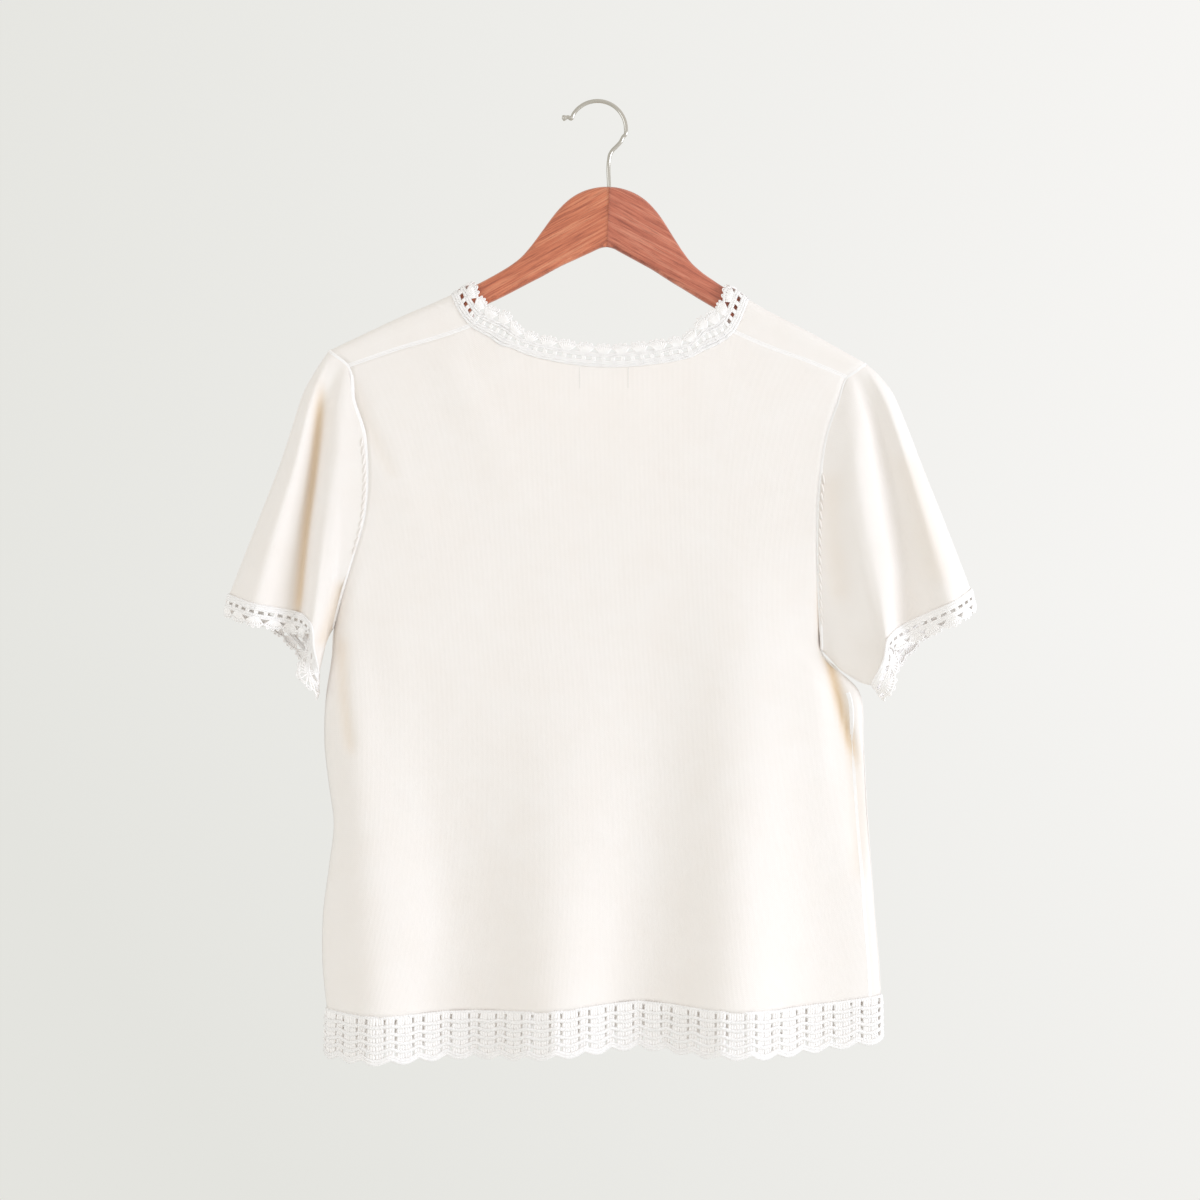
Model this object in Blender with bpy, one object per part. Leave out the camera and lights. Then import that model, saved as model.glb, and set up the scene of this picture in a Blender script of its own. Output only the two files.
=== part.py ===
"""A knit t-shirt with crochet edgings, hung on a flat wooden hanger with a wire hook.

Run with: blender --background --python part.py
The frame: X to the right and Z up as seen from the garment's back, which faces -Y. The origin is the
inside top of the hook, where a rail would carry the hanger. Tables are in millimetres.
"""
import math

import bmesh
import bpy
import numpy as np

MM = 0.001
OBJECT, CUTTERS = "knit_top_on_hanger", "cutters"

# Cloth
SIDE_REACH = 0.32         # part of a panel's width over which its columns follow its side edge
LAG = 0.15                # part of the height over which the columns still stand as they do at the hem
WALL = 1.6                # thickness of the knit and of the crochet
SEAM_GAP = 0.3            # daylight between two pieces that are sewn together
HANG_CLEARANCE = 0.3      # between the cloth and the hanger's arm
TURN_POWER = 2.4          # roundness of the cloth's turn over the arm: 2 is round, more is squarer
QUARTER = 13.6            # cloth from the top of the fold down to where it hangs straight

# Hanger
MITRE_X, MITRE_TOP = 7.2, -68.8
TILT = math.radians(2.0)  # the hanger hangs with its right arm lower
ARM_HALF = 5.6            # half of the arm's thickness
ARM_ROUND = 5.0           # radius of its edges
ARM_TIP = 0.6             # the arm's thickness at its end, as a part of the whole
ARM_FLAT = 0.3            # half of the flat left between those edges, at least
ARM_STEPS = 2             # facets of each edge
ARM_END = 209.0
ARM_STRAIGHT = 195.0      # the arm's top edge is straight from here to past its end
PAST_END = (228.0, 145.5)  # a place on that line past the end: distance out and drop
NECK_RISE = 9.0           # how far the cloth's line rises between the straps, where none lies on it
NECK_FROM, NECK_DROP = 75.0, 64.5
MITRE_GAP = 0.3
WIRE = 1.6                # radius of the hook's wire
STEM_DEPTH = 24.0         # how far the hook's stem goes down into the mitre
STEM_PLAY = 0.3
HOOK_MIDDLE_X, HOOK_REACH = -2.0, 22.8   # the bend's centre and radius, to the wire's outside
HOOK_TURN = (158.0, -10.0, 17)           # its first and last angle in degrees, and its points

# The wire's line before and after the bend: place and thickness.
WIRE_COLUMNS = ("x", "z", "swell")
TIP_ROWS = (
    (-30.6, -14.0, 0.45),
    (-30.2, -13.9, 1.1),
    (-29.2, -13.7, 1.45),
    (-28.0, -13.4, 1.35),
    (-27.0, -13.2, 1.0),
    (-25.4, -12.9, 1.0),
)
NECK_OF_HOOK_ROWS = (
    (18.8, -28.5, 1.0),
    (16.6, -32.6, 1.0),
    (13.4, -36.2, 1.0),
    (10.2, -39.4, 1.0),
    (8.0, -43.0, 1.0),
    (MITRE_X, -47.5, 1.0),
    (MITRE_X, MITRE_TOP, 1.0),
    (MITRE_X, MITRE_TOP - STEM_DEPTH, 1.0),
)

# Distance from the mitre, and how far the arm's top and bottom edges lie below its highest point.
ARM_COLUMNS = ("out", "top", "bottom")
ARM_ROWS = (
    (0.0, 0.0, 48.0),
    (5.0, 0.2, 49.0),
    (11.0, 1.2, 52.0),
    (22.0, 5.0, 57.5),
    (30.0, 10.0, 61.5),
    (36.0, 15.5, 64.5),
    (42.0, 22.5, 68.0),
    (52.0, 37.0, 74.0),
    (61.0, 50.0, 79.0),
    (68.0, 58.5, 83.0),
    (75.0, 64.5, 87.0),
    (87.0, 72.5, 93.5),
    (105.0, 83.0, 102.5),
    (125.0, 94.0, 113.0),
    (165.0, 113.0, 131.5),
    (195.0, 128.5, 145.0),
    (204.0, 134.5, 148.5),
    (ARM_END, 140.0, 149.0),
)

# The back and front panels' side edges from the hem up to the underarm: height at the left and right edge.
SIDE_COLUMNS = ("left_x", "left_z", "right_x", "right_z")
SIDE_ROWS = (
    (-218.5, -726.0, 225.0, -715.5),
    (-222.0, -690.0, 223.0, -684.0),
    (-221.5, -650.0, 220.0, -650.0),
    (-216.5, -610.0, 217.5, -615.0),
    (-213.0, -578.0, 215.0, -582.0),
    (-217.0, -546.0, 213.0, -550.0),
    (-220.5, -512.0, 211.0, -512.0),
    (-219.0, -474.0, 207.5, -472.5),
    (-214.8, -447.0, 190.5, -455.0),
    (-212.8, -421.6, 176.8, -439.2),
)

# The armholes from the underarm up to where the cloth turns over the hanger.
ARMHOLE_COLUMNS = ("left_x", "left_z", "right_x", "right_z", "depth")
BACK_ARMHOLE_ROWS = (
    (-206.0, -398.0, 175.0, -409.0, 6.5),
    (-197.0, -368.0, 173.0, -375.0, 10.0),
    (-187.5, -334.0, 172.5, -340.0, 11.5),
    (-184.5, -299.0, 174.5, -304.0, 12.0),
    (-188.0, -265.0, 180.0, -268.0, 11.5),
    (-196.0, -240.0, 189.0, -242.0, 10.0),
)
FRONT_ARMHOLE_ROWS = (
    (-203.0, -392.0, 171.5, -404.0, 7.5),
    (-190.0, -350.0, 168.0, -358.0, 11.0),
    (-183.0, -306.0, 169.5, -312.0, 12.0),
    (-188.0, -262.0, 178.0, -266.0, 11.5),
)
# Where the armhole and neck seams cross the fold over the arm, at distances down the front along each seam.
# The last row is the shoulder seam, on the back.
OVER_COLUMNS = ("arm_down", "neck_down", "left_arm_x", "left_neck_x", "right_neck_x", "right_arm_x")
OVER_ROWS = (
    (17.0, 17.0, -208.5, -118.0, 118.0, 204.0),
    (12.0, 12.0, -212.0, -118.0, 118.0, 207.5),
    (7.5, 7.5, -214.5, -118.0, 118.0, 210.5),
    (3.5, 3.5, -216.2, -117.5, 118.0, 212.3),
    (0.0, 0.0, -216.8, -117.0, 117.5, 212.8),
    (-3.5, -4.0, -216.4, -116.5, 116.8, 212.4),
    (-7.5, -9.0, -215.0, -115.5, 115.5, 211.0),
    (-12.0, -16.0, -211.5, -113.0, 113.2, 207.5),
    (-18.5, -27.0, -205.5, -108.0, 109.5, 202.0),
    (-25.0, -38.5, -200.5, -101.0, 104.5, 196.5),
)
# Necklines between the shoulder straps, left to right.
NECK_COLUMNS = ("x", "z")
BACK_NECK_ROWS = (
    (-81.0, -191.5),
    (-63.0, -200.5),
    (-42.0, -206.5),
    (-16.0, -211.0),
    (8.0, -212.5),
    (38.0, -210.5),
    (72.0, -204.0),
    (92.0, -194.0),
)
FRONT_NECK_ROWS = (
    (-116.0, -200.0),
    (-110.0, -225.0),
    (-95.0, -248.0),
    (-72.0, -266.0),
    (-40.0, -278.0),
    (0.0, -282.0),
    (40.0, -279.0),
    (72.0, -268.0),
    (95.0, -251.0),
    (109.0, -229.0),
    (115.0, -206.0),
)

# Height of the hem seam along the panels.
HEM_COLUMNS = ("x", "z")
HEM_ROWS = (
    (-218.5, -726.0),
    (-150.0, -726.5),
    (-90.0, -725.0),
    (-30.0, -721.0),
    (30.0, -717.5),
    (80.0, -720.5),
    (140.0, -723.0),
    (185.0, -720.0),
    (225.0, -715.5),
)

# Depth of each panel from the middle plane without its folds, by distance below the fold over the hanger.
DEPTH_COLUMNS = ("below", "depth")
DEPTH_ROWS = ((8.0, 8.2), (60.0, 11.0), (120.0, 12.5), (240.0, 12.5), (400.0, 10.5), (600.0, 9.0))

# Folds: where the ridge starts and ends, its rise at both ends and its half width at both ends.
FOLD_COLUMNS = ("top_x", "top_z", "low_x", "low_z", "top_rise", "low_rise", "top_half", "low_half")
BACK_FOLDS = (
    (-204.0, -410.0, -178.0, -726.0, 3.0, 30.0, 14.0, 42.0),
    (-168.0, -430.0, -150.0, -640.0, 1.0, 5.0, 16.0, 22.0),
    (-26.0, -420.0, -37.0, -721.0, 0.0, 29.0, 60.0, 46.0),
    (112.0, -330.0, 103.0, -722.0, 0.5, 31.0, 40.0, 48.0),
    (182.0, -425.0, 202.0, -560.0, -7.0, -4.0, 9.0, 12.0),
    (-196.0, -250.0, -150.0, -330.0, 2.5, 1.0, 12.0, 20.0),
    (-120.0, -214.0, -60.0, -330.0, 1.5, 0.5, 14.0, 26.0),
)
FRONT_FOLDS = (
    (-190.0, -430.0, -195.0, -726.0, 2.0, 16.0, 16.0, 26.0),
    (-88.0, -400.0, -102.0, -725.0, 0.0, 27.0, 50.0, 44.0),
    (44.0, -420.0, 34.0, -717.0, 0.0, 28.0, 50.0, 46.0),
    (150.0, -400.0, 158.0, -721.0, 1.0, 27.0, 30.0, 40.0),
)

HEM_LEVEL = -700.0        # folds that end below here run on into the hem

# Sleeve sections from the armhole to the cuff seam, as points round the sleeve: (x, y, z).
SLEEVE_COLUMNS = ("at", "outer", "crown", "valley", "rim", "lobe", "underarm", "front_low", "front_high")
LEFT_SLEEVE = (
    (0.22, (-236.0, 0, -231.0), (-229.0, -13, -238.0), (-218.0, -8, -246.0), (-210.5, -14, -252.0),
     (-204.0, -15, -345.0), (-217.5, 0, -429.0), (-208.0, 13, -350.0), (-222.0, 15, -262.0)),
    (0.48, (-254.0, 0, -285.0), (-242.0, -19, -295.0), (-229.0, -7, -305.0), (-221.0, -16, -311.0),
     (-212.5, -17, -384.0), (-221.0, 0, -441.0), (-213.5, 15, -385.0), (-236.0, 19, -310.0)),
    (0.75, (-276.0, 0, -342.0), (-259.0, -23, -353.0), (-237.0, -7, -363.0), (-228.0, -18, -368.0),
     (-219.5, -17, -415.0), (-223.5, 0, -452.0), (-220.5, 16, -416.0), (-248.0, 21, -362.0)),
    (1.0, (-297.0, 0, -396.0), (-272.0, -25, -404.0), (-242.5, -7, -410.0), (-233.0, -18, -414.0),
     (-226.5, -17, -440.0), (-225.5, 0, -463.0), (-230.0, 17, -442.0), (-262.0, 22, -408.0)),
)
RIGHT_SLEEVE = (
    (0.22, (233.0, 0, -232.0), (226.0, -13, -240.0), (216.0, -8, -250.0), (207.0, -15, -258.0),
     (192.0, -16, -354.0), (188.5, 0, -450.0), (200.0, 13, -356.0), (219.0, 15, -268.0)),
    (0.48, (257.0, 0, -290.0), (246.0, -19, -300.0), (230.5, -8, -312.0), (218.5, -17, -320.0),
     (204.0, -18, -390.0), (199.5, 0, -459.0), (208.0, 15, -392.0), (236.0, 19, -318.0)),
    (0.75, (279.0, 0, -345.0), (263.0, -23, -356.0), (240.0, -8, -369.0), (228.5, -18, -376.0),
     (214.0, -18, -424.0), (209.5, 0, -465.0), (218.0, 16, -424.0), (249.0, 21, -370.0)),
    (1.0, (297.0, 0, -392.0), (277.0, -25, -403.0), (242.5, -8, -420.0), (232.0, -19, -426.0),
     (225.0, -18, -448.0), (218.0, 0, -467.5), (229.0, 17, -448.0), (262.0, 22, -412.0)),
)

# Crochet edgings and the grids of points
TRIM_WIDTH = 16.5         # from the seam to the fans' edge
EYELET = (4.4, 2.4)       # along and across the edging
EYELET_AT = 6.4           # the eyelets' middle, from the seam
STAND_OFF = 0.7           # the neck edging's free side stands this far off the hanger's arm
FAN_DEPTH = 1.8           # how far the fans stand out between their notches
BACK_NECK_EYELETS = 2     # in each of the panel's spans along the neck
FRONT_NECK_EYELETS = 3
STRAP_EYELETS = (1, 0, 1, 0, 1, 0, 1, 0, 1)
CUFF_BACK_EYELETS = (2, 2, 2, 2, 2, 1, 1, 1, 1, 1, 1, 1)
CUFF_FRONT_EYELETS = (2,) * 9
SLEEVE_ROWS = 8           # rings from the armhole to the cuff
RING = 21                 # points round the armhole: 5 over the back of the arm, 7 down, 5 up, 4 over
SLEEVE_PLACES = (0.0, 2.0, 4.0, 5.0, 8.5, 12.0, 14.5, 18.0)   # of the sleeve sections' points on that ring
TUCK = 1.6                # how strongly the cuff turns in behind the sleeve's lobe
TUCK_PLACES = (4, 12)     # the cuff turns in between these
BAND_HEIGHT = 32.5        # at the notches between the scallops
BAND_ROWS = 5
SCALLOP_DEPTH = 4.0       # how much lower the scallops reach
BAND_FLARE = 0.02         # how far the band stands out, as a part of its drop
SHELL_RISE = 1.1          # relief of the band's rows of shells
SHELL_VALLEY = 0.35       # the part of that relief between two shells
SCALLOPS = 21             # on each panel

THIRDS = 3 * SCALLOPS
# Columns of both panels, in thirds of a scallop: close together at the sides, where the cloth turns round.
SIDE_THIRDS = (0, 1, 2, 3, 5, 7)
COLUMNS = SIDE_THIRDS + tuple(range(9, THIRDS - 8, 3)) + tuple(THIRDS - n for n in reversed(SIDE_THIRDS))
STRAP = COLUMNS.index(12)  # the shoulder seam takes the columns up to this one, and the neck the rest
LAST = len(COLUMNS) - 1

COLOURS = {
    "knit_cotton": ((0.87, 0.84, 0.77), 0.85, 0.0),
    "crochet_cotton": ((0.88, 0.86, 0.80), 0.85, 0.0),
    "hanger_wood": ((0.30, 0.12, 0.06), 0.40, 0.0),
    "hook_metal": ((0.75, 0.75, 0.76), 0.20, 1.0),
}


def column(rows, names, name):
    """One named column of a table as an array."""
    return np.array([row[names.index(name)] for row in rows], float)


def smooth(value):
    """A step from 0 to 1 with soft ends."""
    value = np.clip(value, 0.0, 1.0)
    return value * value * (3.0 - 2.0 * value)


def through(at, knots, values):
    """A smooth curve through the values (Catmull-Rom with uneven knots), read at each of the places."""
    knots, values = np.asarray(knots, float), np.asarray(values, float)
    slope = np.gradient(values, knots, axis=0)
    at = np.clip(np.asarray(at, float), knots[0], knots[-1])
    shape = at.shape + (1,) * (values.ndim - 1)
    span = np.clip(np.searchsorted(knots, at, side="right") - 1, 0, len(knots) - 2)
    width = (knots[span + 1] - knots[span]).reshape(shape)
    t = (at - knots[span]).reshape(shape) / width
    rest = 1.0 - t
    return (values[span] * (1 + 2 * t) * rest**2 + slope[span] * width * t * rest**2
            + values[span + 1] * t**2 * (3 - 2 * t) - slope[span + 1] * width * t**2 * rest)


def unit(vectors):
    """The same directions, each one long."""
    return vectors / np.maximum(np.linalg.norm(vectors, axis=-1, keepdims=True), 1e-9)


def along(points, places):
    """Points at each of the places along a polyline, counted in its own points."""
    points = np.asarray(points, float)
    first = np.clip(np.floor(places).astype(int), 0, len(points) - 2)
    part = (places - first)[:, None]
    return points[first] * (1 - part) + points[first + 1] * part


def lengths(points):
    """Distance along a polyline up to each of its points."""
    return np.concatenate([[0.0], np.cumsum(np.linalg.norm(np.diff(points, axis=0), axis=1))])


# ---------------------------------------------------------------- the hanger's line, which the cloth follows

def hanger_point(out, drop, side):
    """A place on the tilted hanger, from the distances out from the mitre and down from its top."""
    x, z = side * out, -drop
    return (MITRE_X + x * math.cos(TILT) + z * math.sin(TILT),
            MITRE_TOP - x * math.sin(TILT) + z * math.cos(TILT))


def arm_top_line():
    """The top edge of both arms from left to right, levelled across the neck where no cloth lies on it."""
    out, top = column(ARM_ROWS, ARM_COLUMNS, "out"), column(ARM_ROWS, ARM_COLUMNS, "top")
    level = np.where(out < NECK_FROM, NECK_DROP - NECK_RISE * smooth((NECK_FROM - out) / NECK_FROM), top)
    straight = out <= ARM_STRAIGHT
    out, level = np.append(out[straight], PAST_END[0]), np.append(level[straight], PAST_END[1])
    left = [hanger_point(o, t, -1) for o, t in zip(out[:0:-1], level[:0:-1])]
    right = [hanger_point(o, t, 1) for o, t in zip(out, level)]
    return np.array(left + right)


ARM_LINE = arm_top_line()
TURN_HALF = ARM_HALF + HANG_CLEARANCE + WALL + 0.5   # half the depth of the cloth over the arm


def fold_height(x):
    """Height of the cloth's fold over the hanger, and the height of that fold's turn."""
    slope = np.gradient(ARM_LINE[:, 1], ARM_LINE[:, 0])
    slant = np.sqrt(1.0 + np.interp(x, ARM_LINE[:, 0], slope) ** 2)
    height = through(x, ARM_LINE[:, 0], ARM_LINE[:, 1])
    return height + (HANG_CLEARANCE + WALL) * slant, TURN_HALF * slant


def hanging_height(x, down):
    """Height of the cloth that hangs straight at x, by its distance from the fold over the arm."""
    height, turn = fold_height(x)
    return height - turn - (np.abs(down) - QUARTER)


def edge_lines(side):
    """Left and right edges of a panel as (x, z, depth), from the hem to the fold over the arm."""
    rows, sign = (BACK_ARMHOLE_ROWS, -1) if side < 0 else (FRONT_ARMHOLE_ROWS, 1)
    lines = []
    for hand in ("left", "right"):
        x = np.concatenate([column(SIDE_ROWS, SIDE_COLUMNS, hand + "_x"),
                            column(rows, ARMHOLE_COLUMNS, hand + "_x")])
        z = np.concatenate([column(SIDE_ROWS, SIDE_COLUMNS, hand + "_z"),
                            column(rows, ARMHOLE_COLUMNS, hand + "_z")])
        depth = np.concatenate([np.zeros(len(SIDE_ROWS)), column(rows, ARMHOLE_COLUMNS, "depth")])
        over = OVER_ROWS[0 if sign > 0 else -1]
        top_x = over[OVER_COLUMNS.index(hand + "_arm_x")]
        top_z = hanging_height(top_x, over[0])
        lines.append(np.column_stack([np.append(x, top_x), np.append(z, top_z), np.append(depth, TURN_HALF)]))
    return lines


EDGES = {side: edge_lines(side) for side in (-1, 1)}


def fold_rise(folds, x, z):
    """How far the folds lift the cloth at each place."""
    rise = np.zeros(np.broadcast(x, z).shape)
    for top_x, top_z, low_x, low_z, top_rise, low_rise, top_half, low_half in folds:
        down = (top_z - z) / (top_z - low_z)
        part = np.clip(down, 0.0, 1.0)
        ends_early = low_z > HEM_LEVEL
        fade = smooth(1.0 + down * 5.0) * np.where(ends_early, smooth((1.35 - down) * 4.0), 1.0)
        middle = top_x + (low_x - top_x) * np.clip(down, -0.2, 1.4)
        half = top_half + (low_half - top_half) * part
        height = top_rise + (low_rise - top_rise) * part**1.3
        rise += height * fade * np.exp(-((x - middle) / half) ** 2)
    return rise


def depth_at(side, x, z):
    """Depth of a panel's outer face from the middle plane."""
    left, right = EDGES[side]
    left_x, right_x = (np.interp(z, line[:, 1], line[:, 0]) for line in (left, right))
    edge = np.where(x < 0, np.interp(z, left[:, 1], left[:, 2]), np.interp(z, right[:, 1], right[:, 2]))
    across = np.clip((x - left_x) / (right_x - left_x) * 2.0 - 1.0, -1.0, 1.0)
    closing = np.sqrt(np.maximum(1.0 - np.abs(across) ** 8, 0.0))
    below = fold_height(x)[0] - z
    plain = np.interp(below, column(DEPTH_ROWS, DEPTH_COLUMNS, "below"), column(DEPTH_ROWS, DEPTH_COLUMNS, "depth"))
    folds = fold_rise(BACK_FOLDS if side < 0 else FRONT_FOLDS, x, z)
    folds = folds * smooth((below - 10.0) / 40.0)
    return edge + (plain + folds - edge) * closing


def cloth_at(x, down):
    """Outer face of the cloth at x, at a distance down the front (or, below zero, down the back)."""
    x, down = np.broadcast_arrays(np.asarray(x, float), np.asarray(down, float))
    height, turn = fold_height(x)
    side = np.where(down < 0, -1, 1)
    angle = np.clip(np.abs(down) / QUARTER, 0.0, 1.0) * math.pi / 2
    y = TURN_HALF * np.sin(angle) ** (2 / TURN_POWER)
    z = height - turn + turn * np.cos(angle) ** (2 / TURN_POWER)
    straight = np.abs(down) > QUARTER
    z = np.where(straight, height - turn - (np.abs(down) - QUARTER), z)
    for hand in (-1, 1):
        on = straight & (side == hand)
        y = np.where(on, depth_at(hand, x, z), y)
    return np.stack([x, side * y, z], axis=-1)


def flat_at(side, x, z):
    """Outer face of a panel at x and z, below the hanger."""
    return np.stack([x, side * depth_at(side, x, z), z], axis=-1)


# ---------------------------------------------------------------- grids of points and their normals

def grid_normals(points, outward, closed=False):
    """Normals of a grid of points, turned to the side that the outward rule gives."""
    if closed:
        wide = np.concatenate([points[:, -1:], points, points[:, :1]], axis=1)
        across = (wide[:, 2:] - wide[:, :-2]) / 2
    else:
        across = np.gradient(points, axis=1)
    up = np.gradient(points, axis=0)
    return unit(np.cross(across, up)) * outward


def share_normals(grids):
    """Gives points that several grids share the mean of their normals, so that their rims lie parallel."""
    found = {}
    for points, normals in grids:
        for key, normal in zip(np.round(points.reshape(-1, 3), 2), normals.reshape(-1, 3)):
            found.setdefault(tuple(key), []).append(normal.copy())
    for points, normals in grids:
        for index in np.ndindex(points.shape[:2]):
            near = found[tuple(np.round(points[index], 2))]
            if len(near) > 1:
                normals[index] = unit(np.sum(near, axis=0))


def panel_columns(side):
    """Places across the panel, 0 to 1, at the hem (equal steps of cloth) and at the top seam."""
    span = np.sin(np.linspace(-math.pi / 2, math.pi / 2, 1200)) / 2 + 0.5
    left, right = EDGES[side][0][0], EDGES[side][1][0]
    x = left[0] + (right[0] - left[0]) * span
    z = np.interp(x, column(HEM_ROWS, HEM_COLUMNS, "x"), column(HEM_ROWS, HEM_COLUMNS, "z"))
    cloth = lengths(flat_at(side, x, z))
    thirds = np.array(COLUMNS) / THIRDS
    return np.interp(thirds * cloth[-1], cloth, span)


def equal_steps(line, count):
    """Count points at equal distances along a polyline, its ends among them."""
    gone = lengths(line)
    steps = np.linspace(0.0, gone[-1], count)
    return np.stack([np.interp(steps, gone, line[:, n]) for n in range(line.shape[1])], axis=1)


def strap_parts():
    """Places of the strap's columns from its outer edge to its inner one, and the other way for the right."""
    by_cloth = np.array(COLUMNS[:STRAP + 1], float) / COLUMNS[STRAP]
    part = (by_cloth + np.linspace(0.0, 1.0, STRAP + 1)) / 2
    return part, 1.0 - part[::-1]


def strap_row(over):
    """The (x, down) of both straps' columns on one row over the hanger, left and right."""
    arm_down, neck_down, left_arm, left_neck, right_neck, right_arm = over
    left, right = strap_parts()
    return ((left_arm + (left_neck - left_arm) * left, arm_down + (neck_down - arm_down) * left),
            (right_neck + (right_arm - right_neck) * right, neck_down + (arm_down - neck_down) * right))


def top_line(side):
    """A panel's top row as (x, z): shoulder, neck, shoulder, with one point for each column."""
    left, right = strap_row(OVER_ROWS[-1] if side < 0 else OVER_ROWS[0])
    left_z, right_z = hanging_height(*left), hanging_height(*right)
    left, right = left[0], right[0]
    neck = np.array([(left[-1], left_z[-1])] + list(BACK_NECK_ROWS if side < 0 else FRONT_NECK_ROWS)
                    + [(right[0], right_z[0])])
    gone = lengths(neck)
    neck = equal_steps(through(np.linspace(0.0, gone[-1], 400), gone, neck), LAST - 2 * STRAP + 1)
    x = np.concatenate([left[:-1], neck[:, 0], right[1:]])
    z = np.concatenate([left_z[:-1], neck[:, 1], right_z[1:]])
    return x, z


def panel(side):
    """A panel's grid of outer points, hem first, as far as the row where the front turns over the hanger."""
    left, right = EDGES[side]
    low = panel_columns(side)
    top_x, top_z = top_line(side)
    rows, under = len(left), len(SIDE_ROWS) - 1
    top_part = (top_x - top_x[0]) / (top_x[-1] - top_x[0])
    hem_x = left[0, 0] + (right[0, 0] - left[0, 0]) * low
    hem_z = np.interp(hem_x, column(HEM_ROWS, HEM_COLUMNS, "x"), column(HEM_ROWS, HEM_COLUMNS, "z"))
    hem_off = hem_z - (left[0, 1] + (right[0, 1] - left[0, 1]) * low)
    top_off = top_z - (left[-1, 1] + (right[-1, 1] - left[-1, 1]) * top_part)
    grid = np.zeros((rows, LAST + 1, 3))
    for row in range(rows):
        rise = smooth(row / (rows - 1) * (1.0 + LAG) - LAG)
        x = hem_x + (top_x - hem_x) * rise
        part = low + (top_part - low) * rise
        for line, edge, near in ((left, 0, part), (right, -1, 1.0 - part)):
            x = x + (line[row, 0] - x[edge]) * np.clip(1.0 - near / SIDE_REACH, 0.0, 1.0) ** 1.5
        z = left[row, 1] + (right[row, 1] - left[row, 1]) * part
        z += hem_off * max(1 - row / under, 0) + top_off * max(row - under, 0) / (rows - 1 - under)
        grid[row] = flat_at(side, x, z)
        grid[row, 0] = left[row, 0], side * left[row, 2], left[row, 1]
        grid[row, -1] = right[row, 0], side * right[row, 2], right[row, 1]
    return grid


def strap_rows(turning_row):
    """The front's rows over the hanger: only the straps' columns are used, at both ends of each row."""
    rows = []
    for over in OVER_ROWS[1:]:
        left, right = strap_row(over)
        row = turning_row.copy()
        row[:STRAP + 1] = cloth_at(*left)
        row[LAST - STRAP:] = cloth_at(*right)
        rows.append(row)
    return np.array(rows)


def front_normals(grid, turning):
    """The front's normals, those of the straps taken on each strap by itself."""
    normals = grid_normals(grid, -1)
    normals[:turning + 1] = grid_normals(grid[:turning + 1], -1)
    for strap in (slice(0, STRAP + 1), slice(LAST - STRAP, LAST + 1)):
        normals[turning:, strap] = grid_normals(grid[:, strap], -1)[turning:]
    return normals


def armhole_ring(back, front, col):
    """The armhole seam's points from the fold over the arm, down the back and up the front."""
    under = len(SIDE_ROWS) - 1
    fold = next(n for n, row in enumerate(OVER_ROWS) if row[0] == 0.0)
    turning = len(EDGES[1][0]) - 1
    over = front[turning:, col]
    return np.vstack([over[fold:], back[-2:under - 1:-1, col], front[under + 1:turning, col], over[:fold]])


def sleeve_ring(row):
    """One section of a sleeve: its named points, joined by a smooth closed curve."""
    knots = SLEEVE_PLACES
    points = np.array(row[1:], float)
    wide = np.vstack([points[-2:], points, points[:2]])
    places = np.array([k - RING for k in knots[-2:]] + list(knots) + [k + RING for k in knots[:2]])
    return through(np.arange(RING), places, wide)


def sleeve(armhole, rows):
    """A sleeve's grid of outer points, rings from the armhole to the cuff seam."""
    rings = np.array([armhole] + [sleeve_ring(row) for row in rows])
    knots = [0.0] + [row[0] for row in rows]
    return through(np.linspace(0.0, 1.0, SLEEVE_ROWS + 1), knots, rings)


# ---------------------------------------------------------------- cloth walls

def seam_shift(points, keep, closed):
    """Moves each point on an edge of the kept cells half the seam gap back into its own piece."""
    rows, cols = points.shape[:2]
    moved = points.copy()
    for row in range(rows):
        for col in range(cols):
            pull, cells, beside = np.zeros(3), 0, {}
            for up in (-1, 1):
                for over in (-1, 1):
                    cell_row, cell_col = row + min(up, 0), col + min(over, 0)
                    if closed:
                        cell_col %= keep.shape[1]
                    if not (0 <= cell_row < keep.shape[0] and 0 <= cell_col < keep.shape[1]):
                        continue
                    if not keep[cell_row, cell_col]:
                        continue
                    cells += 1
                    for step_row, step_col in ((up, 0), (0, over)):
                        edge = unit(points[row + step_row, (col + step_col) % cols] - points[row, col])
                        pull += edge
                        beside.setdefault((step_row, step_col), []).append(edge)
            if cells == 2:
                ends = [edges[0] for edges in beside.values() if len(edges) == 1]
                tangent = unit(ends[0] - ends[1])
                pull -= tangent * pull.dot(tangent)
            if 0 < cells < 4:
                corner = math.sqrt(2.0) if cells != 2 else 1.0
                moved[row, col] += unit(pull) * corner * SEAM_GAP / 2
    return moved


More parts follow.
